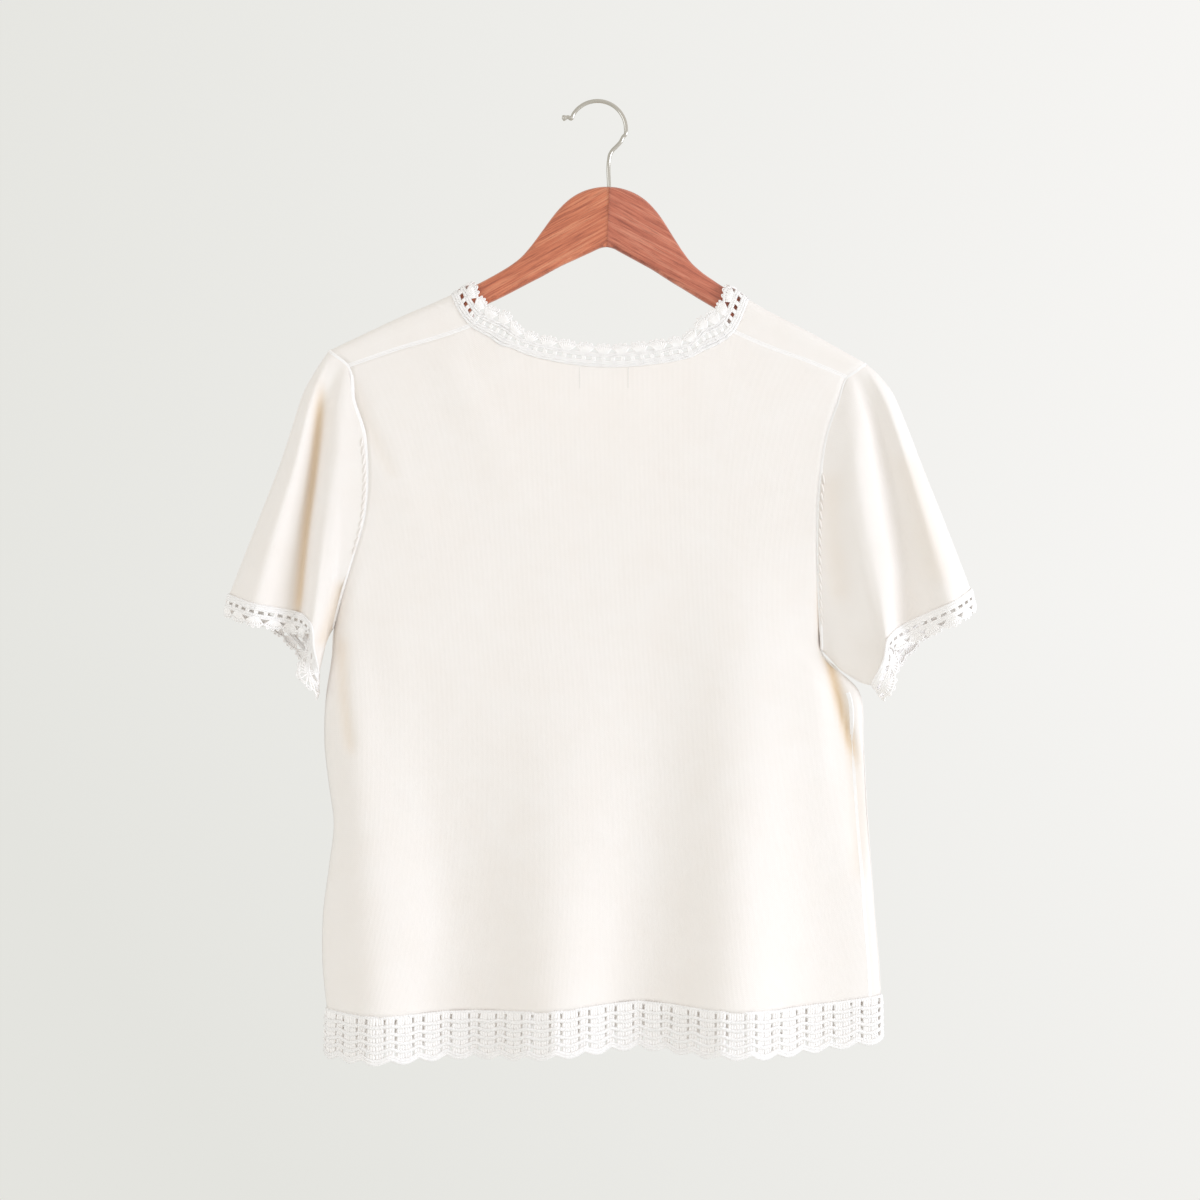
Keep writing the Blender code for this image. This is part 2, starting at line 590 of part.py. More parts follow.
def cloth_wall(name, points, normals, finish, keep=None, closed=False, raised=None, plain_inside=False):
    """A closed wall of cloth on a grid of outer points.

    The rims of two pieces that are sewn together have to lie parallel, which the Solidify modifier
    can't do, so the inner points are set off along normals that both pieces share at their seam.
    """
    rows, cols = points.shape[:2]
    span = cols if closed else cols - 1
    if keep is None:
        keep = np.ones((rows - 1, span), bool)
    seam_points = points
    points = seam_shift(points, keep, closed)
    inner = points - normals * WALL
    outer = points if raised is None else points + normals * raised[..., None]
    mesh = bmesh.new()
    made = {}

    def vertex(layer, row, col):
        key = (layer, row, col % cols)
        if key not in made:
            made[key] = mesh.verts.new((outer if layer else inner)[row, key[2]] * MM)
        return made[key]

    def face(*corners):
        mesh.faces.new([vertex(*corner) for corner in corners])

    def rim(start, end):
        """Joins both layers at an edge, split the same way on the two sides of a seam."""
        places = [tuple(np.round(seam_points[row, col % cols], 1)) for row, col in (start, end)]
        if places[0] > places[1]:
            start, end = end, start
        face((1, *start), (1, *end), (0, *end))
        face((1, *start), (0, *end), (0, *start))

    for row in range(rows - 1):
        for col in range(span):
            if not keep[row, col]:
                continue
            around = ((row, col), (row, col + 1), (row + 1, col + 1), (row + 1, col))
            face(*[(1, *place) for place in around])
            if not plain_inside:
                face(*[(0, *place) for place in reversed(around)])
            beside = ((row - 1, col), (row, col + 1), (row + 1, col), (row, col - 1))
            for number, (next_row, next_col) in enumerate(beside):
                if closed:
                    next_col %= span
                inside = 0 <= next_row < rows - 1 and 0 <= next_col < span and keep[next_row, next_col]
                if not inside:
                    rim(around[number], around[(number + 1) % 4])
    if plain_inside:
        for col in range(span):
            face((0, 0, col), (0, rows - 1, col), (0, rows - 1, col + 1), (0, 0, col + 1))
    bmesh.ops.recalc_face_normals(mesh, faces=mesh.faces)
    return add_object(name, mesh, finish)


def edging(name, seam, rows_out, normals, eyelets, closed=False):
    """A crochet edging below a seam: its rows of points at the seam's vertices, and its row of eyelets.

    rows_out holds the points of each row at the seam's vertices, and eyelets how many lie in each span.
    """
    places, holes = [], []
    for span, count in enumerate(eyelets):
        places.append(float(span))
        for number in range(count):
            middle = (number + 0.5) / count
            length = np.linalg.norm(seam[span + 1] - seam[span])
            half = min(EYELET[0] / 2 / length, 0.4 / count)
            places.append(span + middle - half)
            holes.append(len(places) - 1)
            places.append(span + middle + half)
    places.append(float(len(eyelets)))
    places = np.array(places)
    grid = np.array([along(row, places) for row in rows_out])
    turned = unit(np.array([along(row, places) for row in normals]))
    notch = np.arange(len(places)) % 2 == 0
    grid[-1] += unit(grid[-2] - grid[-1]) * FAN_DEPTH * notch[:, None]
    keep = np.ones((len(grid) - 1, len(places) - 1), bool)
    keep[1, holes] = False
    cloth_wall(name, grid, turned, "crochet_cotton", keep=keep)


# ---------------------------------------------------------------- pieces

def neck_loop(back, front, turning):
    """The neck seam's vertices as (x, down), all round from the left shoulder seam over to the front."""
    left = [(row[3], row[1]) for row in reversed(OVER_ROWS)]
    right = [(row[4], row[1]) for row in OVER_ROWS]

    def below(points, sign):
        height, turn = fold_height(points[:, 0])
        return list(zip(points[:, 0], sign * (height - turn - points[:, 2] + QUARTER)))

    front_part = below(front[turning, STRAP + 1:LAST - STRAP], 1)
    back_part = below(back[-1, STRAP + 1:LAST - STRAP][::-1], -1)
    return np.array(left + front_part + right + back_part)


def build_neck(back, back_turned, front, front_turned, turning):
    """The neck edging, in one piece for each panel, between the shoulder seams."""
    loop = neck_loop(back, front, turning)
    tangent = unit(np.roll(loop, -1, axis=0) - np.roll(loop, 1, axis=0))
    inward = np.column_stack([tangent[:, 1], -tangent[:, 0]])
    middle = loop.mean(axis=0)
    if np.sum(inward * (middle - loop)) < 0:
        inward = -inward
    steps = (0.0, EYELET_AT - EYELET[1] / 2, EYELET_AT + EYELET[1] / 2, TRIM_WIDTH)
    rows = np.array([cloth_at(*(loop + inward * step).T) for step in steps])
    normals = grid_normals(rows, -1, closed=True)
    rows[2:] += normals[2:] * STAND_OFF
    strap_length = len(OVER_ROWS)
    normals[0, :strap_length] = front_turned[turning:, STRAP][::-1]
    across = LAST - 2 * STRAP
    normals[0, strap_length - 1:strap_length + across] = front_turned[turning, STRAP:LAST - STRAP + 1]
    normals[0, strap_length + across - 1:2 * strap_length + across - 1] = front_turned[turning:, LAST - STRAP]
    back_seam = back_turned[-1, STRAP:LAST - STRAP + 1][::-1]
    last_front = 2 * strap_length + across - 2
    normals[0, last_front:] = back_seam[:-1]
    normals[0, 0] = back_seam[-1]
    eyelets = list(STRAP_EYELETS) + [FRONT_NECK_EYELETS] * across + list(reversed(STRAP_EYELETS))
    part = slice(0, last_front + 1)
    edging("neck_trim_front", rows[0, part], rows[:, part], normals[:, part], eyelets)
    back_rows = np.concatenate([rows[:, last_front:], rows[:, :1]], axis=1)
    back_normals = np.concatenate([normals[:, last_front:], normals[:, :1]], axis=1)
    edging("neck_trim_back", back_rows[0], back_rows, back_normals, [BACK_NECK_EYELETS] * across)


def build_cuffs(hand, grid, normals):
    """A cuff's edging, in one piece for each face of the sleeve."""
    places = np.arange(RING)
    first, last = TUCK_PLACES
    turned_in = np.sin((np.clip(places, first, last) - first) / (last - first) * math.pi)[:, None]
    out = unit(grid[-1] - grid[-3]) + np.array([0.0, 0.0, -1.0]) + turned_in * np.array([0.0, TUCK, 0.0])
    tangent = unit(np.roll(grid[-1], -1, axis=0) - np.roll(grid[-1], 1, axis=0))
    out = unit(out - tangent * np.sum(out * tangent, axis=1, keepdims=True))
    steps = (0.0, EYELET_AT - EYELET[1] / 2, EYELET_AT + EYELET[1] / 2, TRIM_WIDTH)
    rows = np.array([grid[-1] + out * step for step in steps])
    turned = np.array([normals[-1]] * len(steps))
    under = len(CUFF_BACK_EYELETS)
    wide = np.concatenate([rows, rows[:, :1]], axis=1)
    wide_turned = np.concatenate([turned, turned[:, :1]], axis=1)
    for face, part, eyelets in (("back", slice(0, under + 1), CUFF_BACK_EYELETS),
                                ("front", slice(under, RING + 1), CUFF_FRONT_EYELETS)):
        edging(f"cuff_{hand}_{face}", wide[0, part], wide[:, part], wide_turned[:, part], eyelets)


def build_band(back, back_turned, front, front_turned):
    """The hem band: a tube of crochet shells below both panels, with a scalloped lower edge."""
    places = np.interp(np.arange(THIRDS + 1), COLUMNS, np.arange(LAST + 1))
    seams, normals = [], []
    for grid, turned, order in ((back, back_turned, 1), (front, front_turned, -1)):
        seams.append(along(grid[0], places)[::order][:-1])
        normals.append(along(turned[0], places)[::order][:-1])
    seam, turned = np.concatenate(seams), unit(np.concatenate(normals))
    thirds = np.arange(len(seam))
    full = BAND_HEIGHT + SCALLOP_DEPTH * (thirds % 3 > 0)
    rows = 2 * BAND_ROWS + 1
    part = np.arange(rows) / (rows - 1)
    drop = part[:, None] * full
    flare = turned * np.array([1.0, 1.0, 0.0])
    grid = seam + flare * (BAND_FLARE * drop)[..., None] + np.array([0.0, 0.0, -1.0]) * drop[..., None]
    shell = np.where(thirds % 3 > 0, 1.0, SHELL_VALLEY)
    raised = SHELL_RISE * (np.arange(rows) % 2)[:, None] * shell
    cloth_wall("hem_band", grid, np.array([turned] * rows), "crochet_cotton",
               closed=True, raised=raised, plain_inside=True)


def build_top():
    """All the pieces of the knit top."""
    back, front = panel(-1), panel(1)
    turning = len(front) - 1
    front = np.concatenate([front, strap_rows(front[turning])])
    back_turned, front_turned = grid_normals(back, 1), front_normals(front, turning)
    sleeves = {}
    for hand, col, rows, outward in (("left", 0, LEFT_SLEEVE, -1), ("right", -1, RIGHT_SLEEVE, 1)):
        grid = sleeve(armhole_ring(back, front, col), rows)
        sleeves[hand] = (grid, grid_normals(grid, outward, closed=True))
    share_normals([(back, back_turned), (front, front_turned)] + list(sleeves.values()))
    under = len(SIDE_ROWS) - 1
    down = np.array([0.0, 0.0, -1.0])
    for turned in (back_turned, front_turned):
        turned[under, [0, -1]] = down
    for _, turned in sleeves.values():
        turned[0, len(CUFF_BACK_EYELETS)] = down
    used = np.ones((len(front) - 1, LAST), bool)
    used[turning:, STRAP:LAST - STRAP] = False
    cloth_wall("back", back, back_turned, "knit_cotton")
    cloth_wall("front", front, front_turned, "knit_cotton", keep=used)
    for hand, (grid, turned) in sleeves.items():
        cloth_wall(f"sleeve_{hand}", grid, turned, "knit_cotton", closed=True)
        build_cuffs(hand, grid, turned)
    build_neck(back, back_turned, front, front_turned, turning)
    build_band(back, back_turned, front, front_turned)


def arm_ring(out, top, bottom, side):
    """A rounded section of the hanger's arm at a distance from the mitre."""
    half = ARM_HALF * (ARM_TIP if out == ARM_END else 1.0)
    corner = min(ARM_ROUND, half - ARM_FLAT)
    ring = []
    for quarter, (y, drop) in enumerate(((half - corner, top + corner), (half - corner, bottom - corner),
                                         (corner - half, bottom - corner), (corner - half, top + corner))):
        for step in range(ARM_STEPS + 1):
            angle = math.pi / 2 * (1 - quarter - step / ARM_STEPS)
            place_y, place_drop = y + corner * math.cos(angle), drop - corner * math.sin(angle)
            x, z = hanger_point(out, place_drop, side)
            ring.append((x * MM, place_y * MM, z * MM))
    return ring


def build_arm(side, name, cutter):
    """One arm: a loft through its sections, from the mitre to its rounded end, with half of the stem's hole."""
    mesh = bmesh.new()
    rings = []
    for out, top, bottom in ARM_ROWS:
        rings.append([mesh.verts.new(point) for point in arm_ring(max(out, MITRE_GAP / 2), top, bottom, side)])
    for near, far in zip(rings, rings[1:]):
        for number in range(len(near)):
            after = (number + 1) % len(near)
            mesh.faces.new((near[number], near[after], far[after], far[number]))
    mesh.faces.new(rings[0])
    mesh.faces.new(rings[-1])
    bmesh.ops.recalc_face_normals(mesh, faces=mesh.faces)
    arm = add_object(name, mesh, "hanger_wood")
    cut = arm.modifiers.new("stem hole", "BOOLEAN")
    cut.operation = "DIFFERENCE"
    cut.object = cutter


def hook_route():
    """The wire's centre line from its tip, round the hook and down into the mitre, with its thickness."""
    turn = np.radians(np.linspace(*HOOK_TURN))
    x, z = HOOK_MIDDLE_X + HOOK_REACH * np.cos(turn), HOOK_REACH * (np.sin(turn) - 1.0)
    return list(TIP_ROWS) + list(zip(x, z, np.ones(len(turn)))) + list(NECK_OF_HOOK_ROWS)


def build_hook():
    """The wire hook: a bevelled curve with a ball-like tip."""
    curve = bpy.data.curves.new("hanger_hook", "CURVE")
    curve.dimensions = "3D"
    curve.bevel_depth = WIRE * MM
    curve.bevel_resolution = 2
    curve.use_fill_caps = True
    route = hook_route()
    spline = curve.splines.new("POLY")
    spline.points.add(len(route) - 1)
    for point, (x, z, swell) in zip(spline.points, route):
        point.co = (x * MM, 0.0, z * MM, 1.0)
        point.radius = swell
    hook = bpy.data.objects.new("hanger_hook", curve)
    curve.materials.append(material("hook_metal"))
    bpy.data.collections[OBJECT].objects.link(hook)


def build_hanger():
    """The hanger: two mitred arms and the hook between them."""
    depth = STEM_DEPTH + STEM_PLAY
    bpy.ops.mesh.primitive_cylinder_add(
        vertices=12, radius=(WIRE + STEM_PLAY) * MM, depth=2 * depth * MM,
        location=(MITRE_X * MM, 0.0, MITRE_TOP * MM))
    cutter = bpy.context.object
    cutter.name = "stem_hole"
    cutter.hide_render = True
    for owner in list(cutter.users_collection):
        owner.objects.unlink(cutter)
    bpy.data.collections[CUTTERS].objects.link(cutter)
    for side, name in ((-1, "hanger_arm_left"), (1, "hanger_arm_right")):
        build_arm(side, name, cutter)
    build_hook()


# ---------------------------------------------------------------- scene

def material(name):
    """The finish of this name, made the first time that it is asked for."""
    found = bpy.data.materials.get(name)
    if found:
        return found
    made = bpy.data.materials.new(name)
    made.use_nodes = True
    colour, roughness, metallic = COLOURS[name]
    shader = made.node_tree.nodes["Principled BSDF"]
    shader.inputs["Base Color"].default_value = (*colour, 1.0)
    shader.inputs["Roughness"].default_value = roughness
    shader.inputs["Metallic"].default_value = metallic
    made.diffuse_color = (*colour, 1.0)
    return made


def add_object(name, mesh, finish):
    """Puts a finished bmesh in the object's collection, with its finish."""
    data = bpy.data.meshes.new(name)
    mesh.to_mesh(data)
    mesh.free()
    data.materials.append(material(finish))
    piece = bpy.data.objects.new(name, data)
    bpy.data.collections[OBJECT].objects.link(piece)
    return piece


def main():
    for old in list(bpy.data.objects):
        bpy.data.objects.remove(old, do_unlink=True)
    for name in (OBJECT, CUTTERS):
        bpy.context.scene.collection.children.link(bpy.data.collections.new(name))
    build_top()
    build_hanger()


main()
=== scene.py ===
# %% [markdown]
# # A knit t-shirt with crochet edgings on a wooden hanger
#
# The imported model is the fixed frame: metres, Z up, the garment's back towards -Y, and the origin at
# the inside top of the hook. Every piece below is made in that frame and rides on the one body, root.

# %% Load the frame
import math

import bpy
import numpy as np
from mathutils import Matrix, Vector


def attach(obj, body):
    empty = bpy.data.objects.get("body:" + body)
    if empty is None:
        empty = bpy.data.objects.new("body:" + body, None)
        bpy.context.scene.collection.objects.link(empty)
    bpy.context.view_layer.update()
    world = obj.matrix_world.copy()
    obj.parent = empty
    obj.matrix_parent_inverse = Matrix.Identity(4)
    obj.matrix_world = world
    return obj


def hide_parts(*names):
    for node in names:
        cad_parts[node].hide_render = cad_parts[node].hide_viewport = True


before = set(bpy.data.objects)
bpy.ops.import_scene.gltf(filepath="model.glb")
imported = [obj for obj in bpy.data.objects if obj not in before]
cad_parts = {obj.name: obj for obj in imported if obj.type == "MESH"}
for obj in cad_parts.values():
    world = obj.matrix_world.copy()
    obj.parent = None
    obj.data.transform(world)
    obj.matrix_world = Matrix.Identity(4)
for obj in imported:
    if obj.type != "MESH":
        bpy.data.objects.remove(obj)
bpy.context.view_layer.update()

MM = 0.001

# %% [markdown]
# ## Sizes
# A garment is known by its measurements: where its seams run, how deep it hangs and where it folds.
# Each step below starts with its own table of them, in millimetres, read as (x, z) as seen from the
# back. They are the same sizes that the solid model is built from, so that the cloth drawn here lies on
# its solids.

# %% The cloth's turn over the hanger
WALL = 1.6                # thickness of the solids' cloth
HANG_CLEARANCE = 0.3      # between the cloth and the hanger's arm
TURN_SPARE = 0.5          # extra depth of the turn
TURN_POWER = 2.4          # its roundness: 2 is round, more is squarer
QUARTER = 13.6            # cloth from the top of the fold down to where it hangs straight
print("the cloth takes", 2 * QUARTER, "mm to turn over an arm")

# %% [markdown]
# ## Curves through few points
# A pattern cutter joins a few marked points with a smooth curve. A Catmull-Rom spline does the same:
# it passes through every point, so that the tables can be read off a photograph.

# %% Curve helpers
def column(rows, names, name):
    """One named column of a table as an array."""
    return np.array([row[names.index(name)] for row in rows], float)


def smooth(value):
    """A step from 0 to 1 with soft ends."""
    value = np.clip(value, 0.0, 1.0)
    return value * value * (3.0 - 2.0 * value)


def through(at, knots, values, level=False):
    """A smooth curve through the values (Catmull-Rom with uneven knots), read at each of the places."""
    knots, values = np.asarray(knots, float), np.asarray(values, float)
    slope = np.gradient(values, knots, axis=0)
    if level:  # keeps the curve between its points where their steps change suddenly
        chords = np.abs(np.diff(values, axis=0).T / np.diff(knots)).T
        most = 3.0 * np.minimum(chords[:-1], chords[1:])
        slope[1:-1] = np.clip(slope[1:-1], -most, most)
    at = np.clip(np.asarray(at, float), knots[0], knots[-1])
    shape = at.shape + (1,) * (values.ndim - 1)
    span = np.clip(np.searchsorted(knots, at, side="right") - 1, 0, len(knots) - 2)
    width = (knots[span + 1] - knots[span]).reshape(shape)
    t = (at - knots[span]).reshape(shape) / width
    rest = 1.0 - t
    return (values[span] * (1 + 2 * t) * rest**2 + slope[span] * width * t * rest**2
            + values[span + 1] * t**2 * (3 - 2 * t) - slope[span + 1] * width * t**2 * rest)


def unit(vectors):
    """The same directions, each one long."""
    return vectors / np.maximum(np.linalg.norm(vectors, axis=-1, keepdims=True), 1e-9)


def along(points, places):
    """Points at each of the places along a polyline, counted in its own points."""
    points = np.asarray(points, float)
    first = np.clip(np.floor(places).astype(int), 0, len(points) - 2)
    part = (places - first)[:, None]
    return points[first] * (1 - part) + points[first + 1] * part


def lengths(points):
    """Distance along a polyline up to each of its points."""
    return np.concatenate([[0.0], np.cumsum(np.linalg.norm(np.diff(points, axis=0), axis=1))])


# %% [markdown]
# ## The line that the cloth hangs from
# Cloth on a hanger takes the shape of the hanger's top edge, and turns over it in a narrow round fold.
# From there it hangs straight down, so its place can be told by x and the distance down from the fold.

# %% The hanger's upper line
MITRE_X, MITRE_TOP = 7.2, -68.8
TILT = math.radians(2.0)  # the hanger hangs with its right arm lower
ARM_HALF = 5.6            # half of the arm's thickness
ARM_END = 209.0
ARM_STRAIGHT = 195.0      # the arm's top edge is straight from here to past its end
PAST_END = (228.0, 145.5)  # a place on that line past the end: distance out and drop
NECK_RISE = 9.0           # how far the cloth's line rises between the straps, where none lies on it
NECK_FROM, NECK_DROP = 75.0, 64.5

# Distance from the mitre, and how far the arm's top and bottom edges lie below its highest point.
ARM_COLUMNS = ("out", "top", "bottom")
ARM_ROWS = (
    (0.0, 0.0, 48.0),
    (5.0, 0.2, 49.0),
    (11.0, 1.2, 52.0),
    (22.0, 5.0, 57.5),
    (30.0, 10.0, 61.5),
    (36.0, 15.5, 64.5),
    (42.0, 22.5, 68.0),
    (52.0, 37.0, 74.0),
    (61.0, 50.0, 79.0),
    (68.0, 58.5, 83.0),
    (75.0, 64.5, 87.0),
    (87.0, 72.5, 93.5),
    (105.0, 83.0, 102.5),
    (125.0, 94.0, 113.0),
    (165.0, 113.0, 131.5),
    (195.0, 128.5, 145.0),
    (204.0, 134.5, 148.5),
    (ARM_END, 140.0, 149.0),
)
print("arm:", len(ARM_ROWS), "places from the mitre to its end at", ARM_END, "mm")

# %% The fold over the hanger
def hanger_point(out, drop, side):
    """A place on the tilted hanger, from the distances out from the mitre and down from its top."""
    x, z = side * out, -drop
    return (MITRE_X + x * math.cos(TILT) + z * math.sin(TILT),
            MITRE_TOP - x * math.sin(TILT) + z * math.cos(TILT))


def arm_top_line():
    """The top edge of both arms from left to right, levelled across the neck where no cloth lies on it."""
    out, top = column(ARM_ROWS, ARM_COLUMNS, "out"), column(ARM_ROWS, ARM_COLUMNS, "top")
    level = np.where(out < NECK_FROM, NECK_DROP - NECK_RISE * smooth((NECK_FROM - out) / NECK_FROM), top)
    straight = out <= ARM_STRAIGHT
    out, level = np.append(out[straight], PAST_END[0]), np.append(level[straight], PAST_END[1])
    left = [hanger_point(o, t, -1) for o, t in zip(out[:0:-1], level[:0:-1])]
    right = [hanger_point(o, t, 1) for o, t in zip(out, level)]
    return np.array(left + right)


ARM_LINE = arm_top_line()
TURN_HALF = ARM_HALF + HANG_CLEARANCE + WALL + TURN_SPARE   # half the depth of the cloth over the arm


def fold_height(x):
    """Height of the cloth's fold over the hanger, and the height of that fold's turn."""
    slope = np.gradient(ARM_LINE[:, 1], ARM_LINE[:, 0])
    slant = np.sqrt(1.0 + np.interp(x, ARM_LINE[:, 0], slope) ** 2)
    height = through(x, ARM_LINE[:, 0], ARM_LINE[:, 1])
    return height + (HANG_CLEARANCE + WALL) * slant, TURN_HALF * slant


def hanging_height(x, down):
    """Height of the cloth that hangs straight at x, by its distance from the fold over the arm."""
    height, turn = fold_height(x)
    return height - turn - (np.abs(down) - QUARTER)


print("the fold's highest point:", round(float(fold_height(ARM_LINE[:, 0])[0].max()), 1), "mm")

# %% [markdown]
# ## The panels' form
# The side edges come from the tables, and the depth from a plain hanging shape with soft vertical
# folds added. Cloth simulation could drape it, but it wouldn't fall into the folds that are seen, so
# each fold is one row of a table: where it starts and ends, how high it rises and how wide it is.

# %% Edges of the panels
# The back and front panels' side edges from the hem up to the underarm: height at the left and right edge.
SIDE_COLUMNS = ("left_x", "left_z", "right_x", "right_z")
SIDE_ROWS = (
    (-218.5, -726.0, 225.0, -715.5),
    (-222.0, -690.0, 223.0, -684.0),
    (-221.5, -650.0, 220.0, -650.0),
    (-216.5, -610.0, 217.5, -615.0),
    (-213.0, -578.0, 215.0, -582.0),
    (-217.0, -546.0, 213.0, -550.0),
    (-220.5, -512.0, 211.0, -512.0),
    (-219.0, -474.0, 207.5, -472.5),
    (-214.8, -447.0, 190.5, -455.0),
    (-212.8, -421.6, 176.8, -439.2),
)

# The armholes from the underarm up to where the cloth turns over the hanger.
ARMHOLE_COLUMNS = ("left_x", "left_z", "right_x", "right_z", "depth")
BACK_ARMHOLE_ROWS = (
    (-206.0, -398.0, 175.0, -409.0, 6.5),
    (-197.0, -368.0, 173.0, -375.0, 10.0),
    (-187.5, -334.0, 172.5, -340.0, 11.5),
    (-184.5, -299.0, 174.5, -304.0, 12.0),
    (-188.0, -265.0, 180.0, -268.0, 11.5),
    (-196.0, -240.0, 189.0, -242.0, 10.0),
)
FRONT_ARMHOLE_ROWS = (
    (-203.0, -392.0, 171.5, -404.0, 7.5),
    (-190.0, -350.0, 168.0, -358.0, 11.0),
    (-183.0, -306.0, 169.5, -312.0, 12.0),
    (-188.0, -262.0, 178.0, -266.0, 11.5),
)
# Where the armhole and neck seams cross the fold over the arm, at distances down the front along each seam.
# The last row is the shoulder seam, on the back.
OVER_COLUMNS = ("arm_down", "neck_down", "left_arm_x", "left_neck_x", "right_neck_x", "right_arm_x")
OVER_ROWS = (
    (17.0, 17.0, -208.5, -118.0, 118.0, 204.0),
    (12.0, 12.0, -212.0, -118.0, 118.0, 207.5),
    (7.5, 7.5, -214.5, -118.0, 118.0, 210.5),
    (3.5, 3.5, -216.2, -117.5, 118.0, 212.3),
    (0.0, 0.0, -216.8, -117.0, 117.5, 212.8),
    (-3.5, -4.0, -216.4, -116.5, 116.8, 212.4),
    (-7.5, -9.0, -215.0, -115.5, 115.5, 211.0),
    (-12.0, -16.0, -211.5, -113.0, 113.2, 207.5),
    (-18.5, -27.0, -205.5, -108.0, 109.5, 202.0),
    (-25.0, -38.5, -200.5, -101.0, 104.5, 196.5),
)
print("edges:", len(SIDE_ROWS), "rows up the sides and", len(OVER_ROWS), "over the arm")

# %% Depth and folds
# Depth of each panel from the middle plane without its folds, by distance below the fold over the hanger.
DEPTH_COLUMNS = ("below", "depth")
DEPTH_ROWS = ((8.0, 8.2), (60.0, 11.0), (120.0, 12.5), (240.0, 12.5), (400.0, 10.5), (600.0, 9.0))
# Folds: where the ridge starts and ends as (x, z), its rise at both ends and its half width at both ends.
BACK_FOLDS = (
    (-204.0, -410.0, -178.0, -726.0, 3.0, 30.0, 14.0, 42.0),
    (-168.0, -430.0, -150.0, -640.0, 1.0, 5.0, 16.0, 22.0),
    (-26.0, -420.0, -37.0, -721.0, 0.0, 29.0, 60.0, 46.0),
    (112.0, -330.0, 103.0, -722.0, 0.5, 31.0, 40.0, 48.0),
    (182.0, -425.0, 202.0, -560.0, -7.0, -4.0, 9.0, 12.0),
    (-196.0, -250.0, -150.0, -330.0, 2.5, 1.0, 12.0, 20.0),
    (-120.0, -214.0, -60.0, -330.0, 1.5, 0.5, 14.0, 26.0),
)
FRONT_FOLDS = (
    (-190.0, -430.0, -195.0, -726.0, 2.0, 16.0, 16.0, 26.0),
    (-88.0, -400.0, -102.0, -725.0, 0.0, 27.0, 50.0, 44.0),
    (44.0, -420.0, 34.0, -717.0, 0.0, 28.0, 50.0, 46.0),
    (150.0, -400.0, 158.0, -721.0, 1.0, 27.0, 30.0, 40.0),
)
HEM_LEVEL = -700.0        # folds that end below here run on into the hem
FOLD_STARTS, FOLD_FULL = 10.0, 40.0   # how far below the hanger they begin, and the drop to their full rise
RISE_POWER = 1.3          # how late a fold rises on its way down
FADE_IN, FADE_OUT, FADE_END = 5.0, 4.0, 1.35   # how fast a fold begins and ends, in parts of its length
RUN_ON = (-0.2, 1.4)      # how far a fold's line runs on past both of its ends
SIDE_POWER = 8            # how squarely the cloth turns at a side edge
print("folds:", len(BACK_FOLDS), "on the back,", len(FRONT_FOLDS), "on the front")

# %% Form of the panels
def edge_lines(side):
    """Left and right edges of a panel as (x, z, depth), from the hem to the fold over the arm."""
    rows, sign = (BACK_ARMHOLE_ROWS, -1) if side < 0 else (FRONT_ARMHOLE_ROWS, 1)
    lines = []
    for hand in ("left", "right"):
        x = np.concatenate([column(SIDE_ROWS, SIDE_COLUMNS, hand + "_x"),
                            column(rows, ARMHOLE_COLUMNS, hand + "_x")])
        z = np.concatenate([column(SIDE_ROWS, SIDE_COLUMNS, hand + "_z"),
                            column(rows, ARMHOLE_COLUMNS, hand + "_z")])
        depth = np.concatenate([np.zeros(len(SIDE_ROWS)), column(rows, ARMHOLE_COLUMNS, "depth")])
        over = OVER_ROWS[0 if sign > 0 else -1]
        top_x = over[OVER_COLUMNS.index(hand + "_arm_x")]
        top_z = hanging_height(top_x, over[0])
        lines.append(np.column_stack([np.append(x, top_x), np.append(z, top_z), np.append(depth, TURN_HALF)]))
    return lines


EDGES = {side: edge_lines(side) for side in (-1, 1)}


def fold_rise(folds, x, z):
    """How far the folds lift the cloth at each place."""
    rise = np.zeros(np.broadcast(x, z).shape)
    for top_x, top_z, low_x, low_z, top_rise, low_rise, top_half, low_half in folds:
        down = (top_z - z) / (top_z - low_z)
        part = np.clip(down, 0.0, 1.0)
        ends_early = low_z > HEM_LEVEL
        fade = smooth(1.0 + down * FADE_IN) * np.where(ends_early, smooth((FADE_END - down) * FADE_OUT), 1.0)
        middle = top_x + (low_x - top_x) * np.clip(down, *RUN_ON)
        half = top_half + (low_half - top_half) * part
        height = top_rise + (low_rise - top_rise) * part**RISE_POWER
        rise += height * fade * np.exp(-((x - middle) / half) ** 2)
    return rise


def depth_at(side, x, z):
    """Depth of a panel's outer face from the middle plane."""
    left, right = EDGES[side]
    left_x, right_x = (np.interp(z, line[:, 1], line[:, 0]) for line in (left, right))
    edge = np.where(x < 0, np.interp(z, left[:, 1], left[:, 2]), np.interp(z, right[:, 1], right[:, 2]))
    across = np.clip((x - left_x) / (right_x - left_x) * 2.0 - 1.0, -1.0, 1.0)
    closing = np.sqrt(np.maximum(1.0 - np.abs(across) ** SIDE_POWER, 0.0))
    below = fold_height(x)[0] - z
    plain = np.interp(below, *(column(DEPTH_ROWS, DEPTH_COLUMNS, name) for name in DEPTH_COLUMNS))
    starting = smooth((below - FOLD_STARTS) / FOLD_FULL)
    folds = fold_rise(BACK_FOLDS if side < 0 else FRONT_FOLDS, x, z) * starting
    return edge + (plain + folds - edge) * closing


